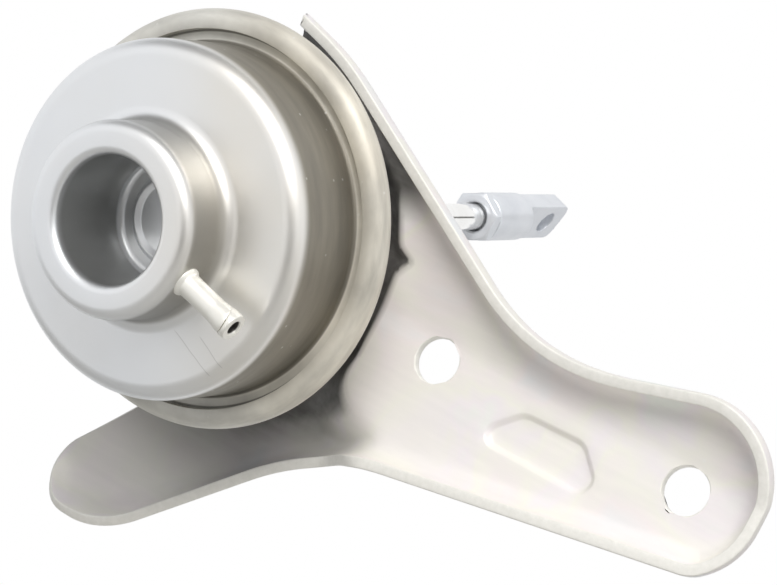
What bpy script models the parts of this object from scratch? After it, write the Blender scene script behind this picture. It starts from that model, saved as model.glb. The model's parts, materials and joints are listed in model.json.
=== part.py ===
"""Turbo wastegate actuator: a pressure canister, its push rod and the sheet bracket that carries it.

Pressure on the front of the diaphragm pushes the piston back against its spring, and the rod
slides out of the rear to open the valve. The rod runs along +Y, the canister faces -Y and +Z is
up. The origin is on the back of the bracket's arm, on the face that is bolted down, beside the
first bolt hole. Everything is placed from the canister's axis at the middle of its crimped bead.
"""
import math

import bmesh
import bpy
from mathutils import Matrix, Vector
from mathutils.geometry import delaunay_2d_cdt

MM = 0.001

# Clearances
GAP = 0.3 * MM             # between pieces that touch on the real object
RUNNING_GAP = 0.3 * MM     # rod in its bush
BOLT_CLEARANCE = 0.35 * MM  # stud in its hole, on the radius
STROKE = 10.0 * MM

# Front cover, a deep-drawn cup; every y is measured from the bead along the rod
COVER_SHEET = 1.2 * MM
COVER_RADIUS = 31.4 * MM
COVER_FACE_Y = -19.5 * MM
SHOULDER_ROUND = 3.2 * MM
FLANGE_ROUND = 0.9 * MM
BOSS_RADIUS = 17.0 * MM
BOSS_FACE_Y = -30.6 * MM
BOSS_ROUND = 2.2 * MM
BOSS_FOOT_ROUND = 2.8 * MM
BOSS_RIM_WIDTH = 5.9 * MM
RECESS_RADIUS = BOSS_RADIUS - BOSS_RIM_WIDTH
RECESS_FLOOR_Y = -12.0 * MM
RECESS_MOUTH_ROUND = 1.4 * MM
RECESS_FOOT_ROUND = 1.3 * MM
COIN_RADIUS = RECESS_RADIUS - 2.8 * MM
COIN_WIDTH = 1.2 * MM
COIN_RISE = 0.8 * MM
COIN_DISH = 0.3 * MM

# Crimped bead that holds cover, diaphragm and rear shell together
BEAD_RADIUS = COVER_RADIUS + 6.1 * MM
BEAD_ROUND = 2.4 * MM
LIP_RADIUS = COVER_RADIUS + 2.4 * MM
CRIMPED_EDGE_GAP = 0.6 * MM

# Rear shell
SHELL_SHEET = 1.2 * MM
SHELL_RADIUS = 26.0 * MM
SHELL_BACK_Y = 20.7 * MM
SHELL_ROUND = 4.0 * MM
SHELL_THROAT_ROUND = 2.4 * MM
VENT_RADIUS = 1.6 * MM
VENT_Y = 11.0 * MM

# Hose nipple
NIPPLE_ANGLE = math.radians(-37.6)
NIPPLE_Y = -26.0 * MM
NIPPLE_RADIUS = 1.95 * MM
NIPPLE_BORE_RADIUS = 1.15 * MM
NIPPLE_STAND_OUT = 12.2 * MM
NIPPLE_END = BOSS_RADIUS + NIPPLE_STAND_OUT
NIPPLE_FLARE_RADIUS = 2.5 * MM
NIPPLE_FLARE_LENGTH = 2.6 * MM
NIPPLE_COLLAR_RADIUS = 2.5 * MM
NIPPLE_COLLAR_LENGTH = 1.0 * MM
NIPPLE_TAIL = 1.0 * MM

# Diaphragm and piston; what must fit inside the shell is a share of its radius
DIAPHRAGM_SHEET = 0.8 * MM
PISTON_SHEET = 1.2 * MM
PISTON_RADIUS = 0.754 * SHELL_RADIUS
PISTON_SKIRT = 9.0 * MM
PISTON_ROUND = 2.0 * MM
DIAPHRAGM_FOLD_Y = 6.0 * MM
PLATE_RADIUS = 0.615 * SHELL_RADIUS
PLATE_THICKNESS = 1.0 * MM
WASHER_RADIUS = 6.5 * MM
WASHER_THICKNESS = 0.8 * MM

# Rod, jam nut and rod end
ROD_RADIUS = 2.8 * MM
ROD_SPIGOT_RADIUS = 1.9 * MM
ROD_RIVET_RADIUS = 3.8 * MM
ROD_RIVET_HEIGHT = 1.3 * MM
ROD_EXPOSED_END_Y = 95.7 * MM
ROD_THREAD_LENGTH = 12.0 * MM
JAM_NUT_FLATS = 10.0 * MM
JAM_NUT_THICKNESS = 2.8 * MM
EYE_BARREL_RADIUS = 5.15 * MM
EYE_BARREL_LENGTH = 14.7 * MM
EYE_NECK_LENGTH = 1.2 * MM
EYE_PADDLE_LENGTH = 18.6 * MM
EYE_PADDLE_WIDTH = 9.1 * MM
EYE_PADDLE_THICKNESS = 4.3 * MM
EYE_PADDLE_ROUND = 2.4 * MM
EYE_EDGE_DISTANCE = 6.5 * MM
EYE_RADIUS = 2.6 * MM
EYE_TURN = math.radians(41.6)

# Spring and guide
SPRING_COIL_RADIUS = 0.36 * SHELL_RADIUS
SPRING_WIRE_RADIUS = 0.9 * MM
SPRING_TURNS = 5.5
SPRING_SEAT_RADIUS = 0.438 * SHELL_RADIUS
SPRING_SEAT_SHEET = 0.8 * MM
SPRING_SEAT_LIP = 2.2 * MM
BUSH_FLANGE_RADIUS = 0.246 * SHELL_RADIUS
BUSH_FLANGE_THICKNESS = 1.6 * MM
BUSH_WALL = 1.3 * MM
BUSH_NECK_RADIUS = ROD_RADIUS + RUNNING_GAP + BUSH_WALL
BUSH_STAND_OUT = 3.4 * MM
CLIP_RADIUS = 7.0 * MM
CLIP_THICKNESS = 1.0 * MM

# Studs, washers and nuts that hold the canister to the bracket
STUD_RADIUS = 2.9 * MM
STUD_CIRCLE_RADIUS = 0.654 * SHELL_RADIUS
STUD_HEAD_RADIUS = 0.188 * SHELL_RADIUS
STUD_HEAD_THICKNESS = 2.0 * MM
STUD_STAND_OUT = 9.5 * MM
STUD_NUT_FLATS = 10.0 * MM
STUD_NUT_THICKNESS = 5.0 * MM
LOCK_WASHER_RADIUS = 4.9 * MM
LOCK_WASHER_THICKNESS = 1.5 * MM
LOCK_WASHER_SLIT = 0.9 * MM

# Bracket sheet; a runs along the arm and b across it, seen from the front
SHEET = 2.0 * MM
BRACKET_TURN = math.radians(22.9)
SEAT_RAISE = 2.2 * MM
BEND_LINE_B = -4.0 * MM
BEND_RADIUS = 8.0 * MM
ARM_TILT = math.radians(16.0)
WING_CURL_START_B = -27.0 * MM
WING_CURL_RADIUS = 70.0 * MM
RAMP_WIDTH = 4.0 * MM
RAMP_FOOT_WIDTH = 14.0 * MM
RAMP_SPREAD_FROM_B = -15.0 * MM
RAMP_SPREAD_TO_B = -28.0 * MM
FLANGE_DEVELOPED = 7.0 * MM
FLANGE_STRAIGHT = 1.2 * MM
BOLT_HOLE_RADIUS = 4.25 * MM
BOLT_HOLE_A = 43.4 * MM
BOLT_HOLE_B = -9.0 * MM
BOLT_SPACING = 52.3 * MM
DATUM_FROM_HOLE = 9.5 * MM
DIMPLE_DEPTH = 1.0 * MM
DIMPLE_SLOPE = 1.4 * MM
TRIM_A = -4.4 * MM
TRIM_SLOPE = math.radians(20.0)
TRIM_B = 29.5 * MM
GRID = 5.0 * MM
OUTLINE_SPACING = 3.8 * MM


def beside_shell(angle, clearance):
    """A corner of the blank, by its angle round the rod and its distance from the shell's wall."""
    reach = SHELL_RADIUS / MM + clearance
    return reach * math.cos(math.radians(angle)), reach * math.sin(math.radians(angle))


# Outline of the sheet with its edge rolled: a, b, corner radius and the edge's turn in degrees
OUTLINE = (
    (*beside_shell(115.0, 19.0), 6.0, 90.0),
    (*beside_shell(79.3, 7.3), 50.0, 90.0),
    (59.1, 0.6, 38.0, 90.0),
    (75.7, 1.7, 51.0, 90.0),
    (109.2, 10.3, 12.5, 90.0),
    (109.2, -15.6, 12.0, 90.0),
    (103.7, -19.6, 5.0, 90.0),
    (28.5, -32.3, 56.0, 80.0),
    (-6.5, -66.7, 18.4, 50.0),
    (-30.0, -66.9, 7.1, 25.0),
    (-9.9, -39.5, 6.0, 0.0),
    (-28.5, -26.0, 16.0, 0.0),
    (-28.5, 33.0, 8.0, 0.0),
)
# Crest of the raised pad, from the top strip past the notch to the lower edge
CREST = (
    (*beside_shell(129.7, 27.3), 0.0),
    (*beside_shell(77.9, 3.0), 46.0),
    (*beside_shell(34.9, 3.7), 5.0),
    (*beside_shell(13.8, 3.3), 2.0),
    (*beside_shell(8.9, 6.5), 0.8),
    (*beside_shell(2.5, 3.7), 1.5),
    (*beside_shell(-35.6, 9.8), 5.0),
    (*beside_shell(-31.2, 21.8), 4.0),
    (*beside_shell(-46.7, 37.2), 0.0),
)
DIMPLE = ((57.0, -17.0, 1.4), (63.4, -10.9, 3.2), (75.2, -10.6, 2.8), (82.0, -17.3, 1.8))

# Roundness of the model
STEPS = 32
HIDDEN_STEPS = 20
SMALL_STEPS = 18
SPRING_STEPS = 12
ARC_STEP = math.radians(30.0)

CANISTER_ANGLE = math.radians(-90.0)
BACKWARD = Vector((0.0, 1.0, 0.0))

# Places worked out from the sizes above
COVER_FLANGE_Y = -0.1 * MM - GAP - COVER_SHEET
DIAPHRAGM_Y = -0.1 * MM
SHELL_FLANGE_Y = DIAPHRAGM_Y + DIAPHRAGM_SHEET + GAP
BEAD_FRONT_Y = COVER_FLANGE_Y - GAP - SHELL_SHEET
BEAD_BACK_Y = SHELL_FLANGE_Y + SHELL_SHEET
CRIMPED_RADIUS = BEAD_RADIUS - SHELL_SHEET - CRIMPED_EDGE_GAP
RIVET_Y = RECESS_FLOOR_Y + COVER_SHEET + GAP
PLATE_Y = RIVET_Y + ROD_RIVET_HEIGHT + GAP
CROWN_SKIN_Y = PLATE_Y + PLATE_THICKNESS + GAP
PISTON_Y = CROWN_SKIN_Y + DIAPHRAGM_SHEET + GAP
WASHER_Y = PISTON_Y + PISTON_SHEET + GAP
ROD_SHOULDER_Y = WASHER_Y + WASHER_THICKNESS + GAP
SHELL_INNER_Y = SHELL_BACK_Y - SHELL_SHEET
BUSH_FLANGE_Y = SHELL_INNER_Y - GAP
SEAT_Y = SHELL_BACK_Y + GAP
SEAT_BACK_Y = SEAT_Y + SHEET
RAISED_Y = SEAT_Y - SEAT_RAISE
RIM_Y = RAISED_Y - (FLANGE_DEVELOPED - FLANGE_STRAIGHT) * 2.0 / math.pi - FLANGE_STRAIGHT
WASHER_BACK_Y = SEAT_BACK_Y + GAP
NUT_Y = WASHER_BACK_Y + LOCK_WASHER_THICKNESS + GAP
JAM_NUT_Y = ROD_EXPOSED_END_Y
EYE_Y = JAM_NUT_Y + JAM_NUT_THICKNESS + GAP


def clear_scene():
    """Removes every object that the file opened with."""
    for item in list(bpy.data.objects):
        bpy.data.objects.remove(item)


def new_collection(name):
    """A collection of its own under the scene."""
    group = bpy.data.collections.new(name)
    bpy.context.scene.collection.children.link(group)
    return group


def metal(name, colour, roughness, metallic=1.0):
    """One Principled material."""
    item = bpy.data.materials.new(name)
    item.use_nodes = True
    shader = item.node_tree.nodes["Principled BSDF"]
    shader.inputs["Base Color"].default_value = (*colour, 1.0)
    shader.inputs["Roughness"].default_value = roughness
    shader.inputs["Metallic"].default_value = metallic
    return item


def place(item, group, parent=None, turn=None, spot=(0.0, 0.0, 0.0)):
    """Links an object, hangs it on its parent and puts it in its place."""
    group.objects.link(item)
    item.parent = parent
    matrix = turn.to_matrix().to_4x4() if turn else Matrix.Identity(4)
    item.matrix_local = Matrix.Translation(Vector(spot)) @ matrix
    return item


def mesh_object(name, points, edges, faces):
    """A new mesh object from plain lists."""
    mesh = bpy.data.meshes.new(name)
    mesh.from_pydata(points, edges, faces)
    return bpy.data.objects.new(name, mesh)


def paint(item, look):
    """Gives an object its own copy of a material."""
    own = look.copy()
    own.name = item.name + "_" + look.name
    item.data.materials.clear()
    item.data.materials.append(own)


def fillet(corners, closed=False, arc_step=ARC_STEP):
    """Replaces each corner (x, y, radius) of a path by an arc; returns the points."""
    points = []
    count = len(corners)
    for index, (x, y, radius) in enumerate(corners):
        here = Vector((x, y))
        if radius <= 0.0 or (not closed and index in (0, count - 1)):
            points.append(here)
            continue
        before = (Vector(corners[index - 1][:2]) - here).normalized()
        after = (Vector(corners[(index + 1) % count][:2]) - here).normalized()
        inside = max(-1.0, min(1.0, before.dot(after)))
        half = math.acos(inside) / 2.0
        turn = math.pi - 2.0 * half
        reach = radius / math.tan(half)
        middle = here + (before + after).normalized() * (radius / math.sin(half))
        start = here + before * reach - middle
        side = 1.0 if before.x * after.y - before.y * after.x < 0.0 else -1.0
        parts = max(2, math.ceil(turn / arc_step))
        for part in range(parts + 1):
            angle = side * turn * part / parts
            points.append(middle + Matrix.Rotation(angle, 2) @ start)
    return points


def offset_path(corners, distance):
    """Moves each line of an open path to its left and gives the corners the matching radii."""
    spots = [Vector(corner[:2]) for corner in corners]
    runs = [(b - a).normalized() for a, b in zip(spots, spots[1:])]
    lefts = [Vector((-run.y, run.x)) for run in runs]
    moved = [(*(spots[0] + lefts[0] * distance), 0.0)]
    for index in range(1, len(spots) - 1):
        one, two = lefts[index - 1], lefts[index]
        shift = (one + two) * (distance / (1.0 + one.dot(two)))
        bends_left = runs[index - 1].cross(runs[index]) > 0.0
        radius = corners[index][2] + (-distance if bends_left else distance)
        moved.append((*(spots[index] + shift), max(radius, 0.0)))
    moved.append((*(spots[-1] + lefts[-1] * distance), 0.0))
    return moved


def sheet_section(corners, thickness):
    """Closed section of a sheet whose one side follows the corners, thickness to the left."""
    near = fillet(corners)
    far = fillet(offset_path(corners, thickness), arc_step=1.5 * ARC_STEP)
    return near + far[::-1]


def turned(name, section, group, parent, look=None, steps=STEPS, turn=None, spot=(0.0, 0.0, 0.0)):
    """A turned solid. The section holds (radius, height) and may start and end on the axis."""
    points = [(point[0], 0.0, point[1]) for point in section]
    open_ended = points[0][0] == 0.0 and points[-1][0] == 0.0
    loop = points + points[:1]
    area = sum(a[0] * b[2] - b[0] * a[2] for a, b in zip(loop, loop[1:]))
    if area > 0.0:
        points.reverse()
    count = len(points)
    edges = [(i, (i + 1) % count) for i in range(count - 1 if open_ended else count)]
    item = mesh_object(name, points, edges, [])
    if turn is None:
        turn = Matrix.Rotation(CANISTER_ANGLE, 3, "X").to_quaternion()
    place(item, group, parent, turn, spot)
    screw = item.modifiers.new("turn", "SCREW")
    screw.axis = "Z"
    screw.steps = steps
    screw.render_steps = steps
    screw.use_merge_vertices = True
    screw.merge_threshold = 0.00001
    if look:
        paint(item, look)
    return item


def ring(name, inner, outer, start, end, group, parent, look=None, edge=0.0, **options):
    """A plain turned ring, or a disc where inner is 0, with a small chamfer outside."""
    section = [(inner, start), (outer - edge, start)]
    if edge > 0.0:
        section += [(outer, start + edge), (outer, end - edge)]
    section += [(outer - edge, end), (inner, end)]
    return turned(name, section, group, parent, look, **options)


def use_cutter(item, cutter, operation="DIFFERENCE"):
    """Adds a Boolean and hides its cutter."""
    cut = item.modifiers.new(operation.lower() + "_" + cutter.name, "BOOLEAN")
    cut.operation = operation
    cut.object = cutter
    cutter.hide_render = True
    cutter.display_type = "WIRE"


def smooth(item, angle=35.0):
    """Smooth shading with sharp edges kept."""
    item.data.shade_smooth()
    if item.data.polygons:
        item.data.set_sharp_from_angle(angle=math.radians(angle))


def bracket_turn():
    """Turns the bracket's own a, b plane about the rod."""
    return Matrix.Rotation(BRACKET_TURN, 3, "Y")


def seat_point(a, b):
    """A point of the seat and the wing, which curls forward past its start line."""
    past = max(0.0, WING_CURL_START_B - b)
    return Vector((a, SEAT_Y - past * past / (2.0 * WING_CURL_RADIUS), b))


def raised_point(a, b):
    """A point of the raised strip and of the arm beyond the bend line, at developed length."""
    past = BEND_LINE_B - b
    arc = BEND_RADIUS * ARM_TILT
    if past <= 0.0:
        return Vector((a, RAISED_Y, b))
    turn = min(past, arc) / BEND_RADIUS
    rest = max(0.0, past - arc)
    run = BEND_RADIUS * math.sin(turn) + rest * math.cos(turn)
    drop = BEND_RADIUS * (1.0 - math.cos(turn)) + rest * math.sin(turn)
    return Vector((a, RAISED_Y - drop, BEND_LINE_B - run))


def arm_normal():
    """The direction that the arm's front face looks in, in the bracket's own a, b plane."""
    return Vector((0.0, -math.cos(ARM_TILT), math.sin(ARM_TILT)))


def arm_point(a, b, behind=0.0):
    """A point on the arm, or behind its front face, in the canister's axes."""
    return bracket_turn() @ (raised_point(a, b) - arm_normal() * behind)


def scaled(corners):
    """Corner lists are in millimetres; the model is in metres."""
    return [(x * MM, y * MM, radius * MM) for x, y, radius, *_ in corners]


def inside_loop(spot, loop):
    """Whether a point lies inside a closed loop of points."""
    inside = False
    for one, two in zip(loop, loop[1:] + loop[:1]):
        if (one.y > spot.y) != (two.y > spot.y):
            cross = one.x + (spot.y - one.y) / (two.y - one.y) * (two.x - one.x)
            inside ^= spot.x < cross
    return inside


def path_distance(spot, path):
    """Shortest distance from a point to an open path."""
    best = math.inf
    for one, two in zip(path, path[1:]):
        run = two - one
        share = max(0.0, min(1.0, (spot - one).dot(run) / run.length_squared))
        best = min(best, (spot - one - run * share).length)
    return best


def ramp_width(b):
    """The ramp beside the crest spreads out towards the lower edge of the sheet."""
    share = (RAMP_SPREAD_FROM_B - b) / (RAMP_SPREAD_FROM_B - RAMP_SPREAD_TO_B)
    share = max(0.0, min(1.0, share))
    return RAMP_WIDTH + (RAMP_FOOT_WIDTH - RAMP_WIDTH) * share


class SheetForm:
    """Height of the bracket's front face over its developed a, b plane."""

    def __init__(self):
        self.crest = fillet(scaled(CREST), arc_step=math.radians(20.0))
        far = Vector((200.0 * MM, 0.0))
        self.raised = self.crest + [self.crest[-1] + far, self.crest[0] + far]
        self.dimple = fillet(scaled(DIMPLE), closed=True)

    def lowered(self, a, b):
        """How far down the ramp a point is: 0 on arm and strip, 1 on the seat."""
        spot = Vector((a, b))
        if inside_loop(spot, self.raised):
            return 0.0
        share = min(1.0, path_distance(spot, self.crest) / ramp_width(b))
        return share * share * (3.0 - 2.0 * share)

    def point(self, a, b):
        """The front face: arm and strip inside the crest, a ramp down to the seat outside."""
        return raised_point(a, b).lerp(seat_point(a, b), self.lowered(a, b))

    def rim_normal(self, a, b):
        """The way the rolled edge stands: square to arm or seat, eased between them."""
        past = max(0.0, WING_CURL_START_B - b)
        seat = Vector((0.0, -1.0, past / WING_CURL_RADIUS)).normalized()
        turn = max(0.0, min(ARM_TILT, (BEND_LINE_B - b) / BEND_RADIUS))
        raised = Vector((0.0, -math.cos(turn), math.sin(turn)))
        return raised.lerp(seat, self.lowered(a, b)).normalized()

    def normal(self, a, b):
        """The direction that the front face looks in."""
        small = 0.2 * MM
        along = self.point(a + small, b) - self.point(a - small, b)
        across = self.point(a, b + small) - self.point(a, b - small)
        return along.cross(across).normalized()


def even_points(path, spacing, closed):
    """Points along a path at about equal spacing, with the distance run at each."""
    loop = path + path[:1] if closed else path
    runs = [0.0]
    for one, two in zip(loop, loop[1:]):
        runs.append(runs[-1] + (two - one).length)
    count = max(2, round(runs[-1] / spacing))
    spots = []
    for index in range(count if closed else count + 1):
        wanted = runs[-1] * index / count
        place_in = max(i for i, run in enumerate(runs[:-1]) if run <= wanted + 1e-12)
        share = (wanted - runs[place_in]) / (runs[place_in + 1] - runs[place_in])
        spots.append((loop[place_in].lerp(loop[place_in + 1], share), wanted))
    return spots


def edge_turns(outline):
    """How far the sheet's edge is rolled at each outline point, eased between the corners."""
    corners = [Vector((a * MM, b * MM)) for a, b, _, _ in OUTLINE]
    turns = [math.radians(turn) for *_, turn in OUTLINE]
    result = []
    for spot in outline:
        best = (math.inf, 0.0)
        for index, corner in enumerate(corners):
            following = corners[(index + 1) % len(corners)]
            run = following - corner
            share = max(0.0, min(1.0, (spot - corner).dot(run) / run.length_squared))
            away = (spot - corner - run * share).length
            ease = share * share * (3.0 - 2.0 * share)
            turn = turns[index] + (turns[(index + 1) % len(turns)] - turns[index]) * ease
            best = min(best, (away, turn))
        result.append(best[1])
    return result


def edge_profile(turn, developed):
    """Where a point of the rolled edge lies: outward along the sheet, and up from it."""
    arc_length = FLANGE_DEVELOPED - FLANGE_STRAIGHT
    turn = max(turn, 0.001)
    radius = arc_length / turn
    angle = min(developed, arc_length) / radius
    rest = max(0.0, developed - arc_length)
    out = radius * math.sin(angle) + rest * math.cos(angle)
    up = radius * (1.0 - math.cos(angle)) + rest * math.sin(angle)
    return out, up


def outward_normals(outline):
    """Unit normals of a clockwise closed loop, pointing out of it."""
    normals = []
    count = len(outline)
    for index in range(count):
        run = outline[(index + 1) % count] - outline[index - 1]
        normals.append(Vector((-run.y, run.x)).normalized())
    return normals


def bracket_sheet():
    """Front face of the bracket as points and faces: a rolled edge round a stamped middle."""
    form = SheetForm()
    dense = fillet(scaled(OUTLINE), closed=True, arc_step=math.radians(6.0))
    outline = [spot for spot, _ in even_points(dense, OUTLINE_SPACING, closed=True)]
    normals = outward_normals(outline)
    turns = edge_turns(outline)
    rings = 4
    count = len(outline)
    inner = [spot - normal * edge_profile(turn, FLANGE_DEVELOPED)[0]
             for spot, normal, turn in zip(outline, normals, turns)]
    points = []
    for level in range(rings + 1):
        share = level / rings
        for spot, normal, turn in zip(inner, normals, turns):
            out, up = edge_profile(turn, FLANGE_DEVELOPED * share)
            moved = spot + normal * out
            points.append(form.point(*moved) + form.rim_normal(*spot) * up)
    faces = []
    for level in range(rings):
        for index in range(count):
            after = (index + 1) % count
            low, high = level * count, (level + 1) * count
            faces.append((low + index, low + after, high + after, high + index))
    flat, dimple_edges = middle_points(form, inner)
    result = delaunay_2d_cdt(flat, dimple_edges, [list(range(count))], 1, 1e-7)
    spots, triangles = result[0], result[2]
    base = len(points)
    index_of = {}
    for index, spot in enumerate(spots):
        origins = result[3][index]
        if origins and min(origins) < count:
            index_of[index] = min(origins)
            continue
        index_of[index] = base
        base += 1
        depth = DIMPLE_DEPTH if inside_loop(spot, form.dimple) or any(
            (spot - edge).length < 1e-6 for edge in form.dimple) else 0.0
        points.append(form.point(*spot) - form.normal(*spot) * depth)
    for triangle in triangles:
        faces.append(tuple(index_of[corner] for corner in triangle))
    return points, faces


def middle_points(form, inner):
    """Points of the stamped middle: its rim, the dimple's two loops, the ramp and a grid."""
    flat = list(inner)
    edges = []
    dimple_lip = fillet([(x, y, r + DIMPLE_SLOPE) for x, y, r in grown(scaled(DIMPLE), DIMPLE_SLOPE)],
                        closed=True)
    for loop in (form.dimple, dimple_lip):
        first = len(flat)
        flat.extend(loop)
        edges.extend((first + i, first + (i + 1) % len(loop)) for i in range(len(loop)))
    taken = list(flat)
    for step in range(5):
        for spot, _ in even_points(form.crest, 2.4 * MM, closed=False):
            side = crest_side(spot, form.crest) * (ramp_width(spot.y) * step / 4.0)
            add_spot(spot + side, flat, taken, inner, 1.0 * MM)
    reach = 120.0 * MM
    rows = int(reach / GRID)
    for row in range(-rows, rows + 1):
        for column in range(-rows, rows + 1):
            spot = Vector(((column + 0.5 * (row % 2)) * GRID, row * GRID * math.sqrt(0.75)))
            add_spot(spot, flat, taken, inner, 0.6 * GRID)
    return flat, edges


def grown(corners, distance):
    """Moves the corners of a clockwise loop outward by a distance."""
    spots = [Vector(corner[:2]) for corner in corners]
    moved = []
    for index, spot in enumerate(spots):
        one = (spot - spots[index - 1]).normalized()
        two = (spots[(index + 1) % len(spots)] - spot).normalized()
        lefts = Vector((-one.y, one.x)), Vector((-two.y, two.x))
        shift = (lefts[0] + lefts[1]) * (distance / (1.0 + lefts[0].dot(lefts[1])))
        moved.append((*(spot + shift), corners[index][2]))
    return moved


def crest_side(spot, crest):
    """Unit direction from the crest towards the seat at its nearest point."""
    best = min(range(len(crest) - 1), key=lambda i: ((crest[i] + crest[i + 1]) / 2 - spot).length)
    run = (crest[best + 1] - crest[best]).normalized()
    return Vector((run.y, -run.x))


def add_spot(spot, flat, taken, rim, room):
    """Adds a point of the middle where it lies inside the rim and clear of the others."""
    if not inside_loop(spot, rim):
        return
    if any((spot - other).length < room for other in taken):
        return
    flat.append(spot)
    taken.append(spot)


def make_front_cover(parts, cutters, axis, look):
    """Deep-drawn cup with a hollow boss, a blind recess in it and a coined ring on its floor."""
    corners = [(0.0, RECESS_FLOOR_Y, 0.0),
               (RECESS_RADIUS, RECESS_FLOOR_Y, RECESS_FOOT_ROUND),
               (RECESS_RADIUS, BOSS_FACE_Y, RECESS_MOUTH_ROUND),
               (BOSS_RADIUS, BOSS_FACE_Y, BOSS_ROUND),
               (BOSS_RADIUS, COVER_FACE_Y, BOSS_FOOT_ROUND),
               (COVER_RADIUS, COVER_FACE_Y, SHOULDER_ROUND),
               (COVER_RADIUS, COVER_FLANGE_Y, FLANGE_ROUND),
               (CRIMPED_RADIUS, COVER_FLANGE_Y, 0.0)]
    coin = [(0.0, RECESS_FLOOR_Y - COIN_DISH),
            (COIN_RADIUS - 2.0 * COIN_WIDTH, RECESS_FLOOR_Y - COIN_DISH),
            (COIN_RADIUS - COIN_WIDTH, RECESS_FLOOR_Y - COIN_RISE),
            (COIN_RADIUS, RECESS_FLOOR_Y)]
    front = coin + fillet(corners)[1:]
    back = fillet(offset_path(corners, COVER_SHEET), arc_step=1.5 * ARC_STEP)
    cover = turned("front_cover", front + back[::-1], parts, axis, look)
    hole = ring("nipple_hole", 0.0, NIPPLE_RADIUS + GAP, (RECESS_RADIUS + BOSS_RADIUS) / 2.0,
                NIPPLE_END, cutters, axis, steps=SMALL_STEPS, **nipple_pose())
    use_cutter(cover, hole)
    return cover


def nipple_pose():
    """Turn and place of whatever stands on the nipple's axis."""
    way = Vector((math.cos(NIPPLE_ANGLE), 0.0, math.sin(NIPPLE_ANGLE)))
    return {"turn": way.to_track_quat("Z", "Y"), "spot": (0.0, NIPPLE_Y, 0.0)}


def make_nipple(parts, axis, look):
    """Drawn tube with a collar against the boss and a flared end for the hose."""
    collar = BOSS_RADIUS + GAP
    tail = BOSS_RADIUS - COVER_SHEET - NIPPLE_TAIL
    section = [(NIPPLE_BORE_RADIUS, tail), (NIPPLE_RADIUS, tail), (NIPPLE_RADIUS, collar),
               (NIPPLE_COLLAR_RADIUS, collar),
               (NIPPLE_COLLAR_RADIUS, collar + NIPPLE_COLLAR_LENGTH * 0.6),
               (NIPPLE_RADIUS, collar + NIPPLE_COLLAR_LENGTH),
               (NIPPLE_RADIUS, NIPPLE_END - NIPPLE_FLARE_LENGTH),
               (NIPPLE_FLARE_RADIUS, NIPPLE_END - NIPPLE_FLARE_LENGTH * 0.5),
               (NIPPLE_FLARE_RADIUS, NIPPLE_END), (NIPPLE_BORE_RADIUS, NIPPLE_END)]
    return turned("hose_nipple", section, parts, axis, look, steps=SMALL_STEPS, **nipple_pose())


def make_rear_shell(parts, cutters, axis, look):
    """Drawn cup whose flange is rolled round the cover's flange to make the crimped bead."""
    corners = [(BUSH_NECK_RADIUS + GAP, SHELL_BACK_Y, 0.0),
               (SHELL_RADIUS, SHELL_BACK_Y, SHELL_ROUND),
               (SHELL_RADIUS, BEAD_BACK_Y, SHELL_THROAT_ROUND),
               (BEAD_RADIUS, BEAD_BACK_Y, BEAD_ROUND),
               (BEAD_RADIUS, BEAD_FRONT_Y, BEAD_ROUND),
               (LIP_RADIUS, BEAD_FRONT_Y, 0.0)]
    shell = turned("rear_shell", sheet_section(corners, -SHELL_SHEET), parts, axis, look)
    for number, spot in enumerate(stud_spots(), 1):
        hole = ring(f"shell_stud_hole_{number}", 0.0, STUD_RADIUS + BOLT_CLEARANCE,
                    SHELL_INNER_Y - SHELL_SHEET, SHELL_BACK_Y + SHELL_SHEET, cutters, axis,
                    steps=SMALL_STEPS, spot=spot)
        use_cutter(shell, hole)
    down = Vector((0.0, 0.0, -1.0)).to_track_quat("Z", "Y")
    vent = ring("vent_hole", 0.0, VENT_RADIUS, SHELL_RADIUS - 2.0 * SHELL_SHEET,
                SHELL_RADIUS + SHELL_SHEET, cutters, axis, steps=16, turn=down,
                spot=(0.0, VENT_Y, 0.0))
    use_cutter(shell, vent)
    return shell


def stud_spots():
    """Where the two studs stand, on either side of the rod along the bracket's arm."""
    for side in (-1.0, 1.0):
        yield bracket_turn() @ Vector((side * STUD_CIRCLE_RADIUS, 0.0, 0.0))


def make_diaphragm(parts, axis, look):
    """Rolling diaphragm: clamped rim, one fold in the shell's throat and a flat crown."""
    wall = SHELL_RADIUS - SHELL_SHEET - GAP - DIAPHRAGM_SHEET
    skirt = PISTON_RADIUS + GAP + DIAPHRAGM_SHEET
    fold = (wall - skirt) / 2.0
    corners = [(CRIMPED_RADIUS, DIAPHRAGM_Y, 0.0),
               (wall, DIAPHRAGM_Y, SHELL_THROAT_ROUND + SHELL_SHEET + GAP + DIAPHRAGM_SHEET),
               (wall, DIAPHRAGM_FOLD_Y, fold * 0.99),
               (skirt, DIAPHRAGM_FOLD_Y, fold * 0.99),
               (skirt, CROWN_SKIN_Y, PISTON_ROUND + GAP + DIAPHRAGM_SHEET),
               (ROD_SPIGOT_RADIUS + GAP, CROWN_SKIN_Y, 0.0)]
    return turned("diaphragm", sheet_section(corners, -DIAPHRAGM_SHEET), parts, axis, look,
                  steps=HIDDEN_STEPS)


def make_piston(parts, axis, look):
    """Drawn piston cup under the diaphragm's crown."""
    corners = [(ROD_SPIGOT_RADIUS + GAP, PISTON_Y, 0.0),
               (PISTON_RADIUS, PISTON_Y, PISTON_ROUND),
               (PISTON_RADIUS, PISTON_Y + PISTON_SKIRT, 0.0)]
    return turned("piston_cup", sheet_section(corners, PISTON_SHEET), parts, axis, look,
                  steps=HIDDEN_STEPS)


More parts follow.
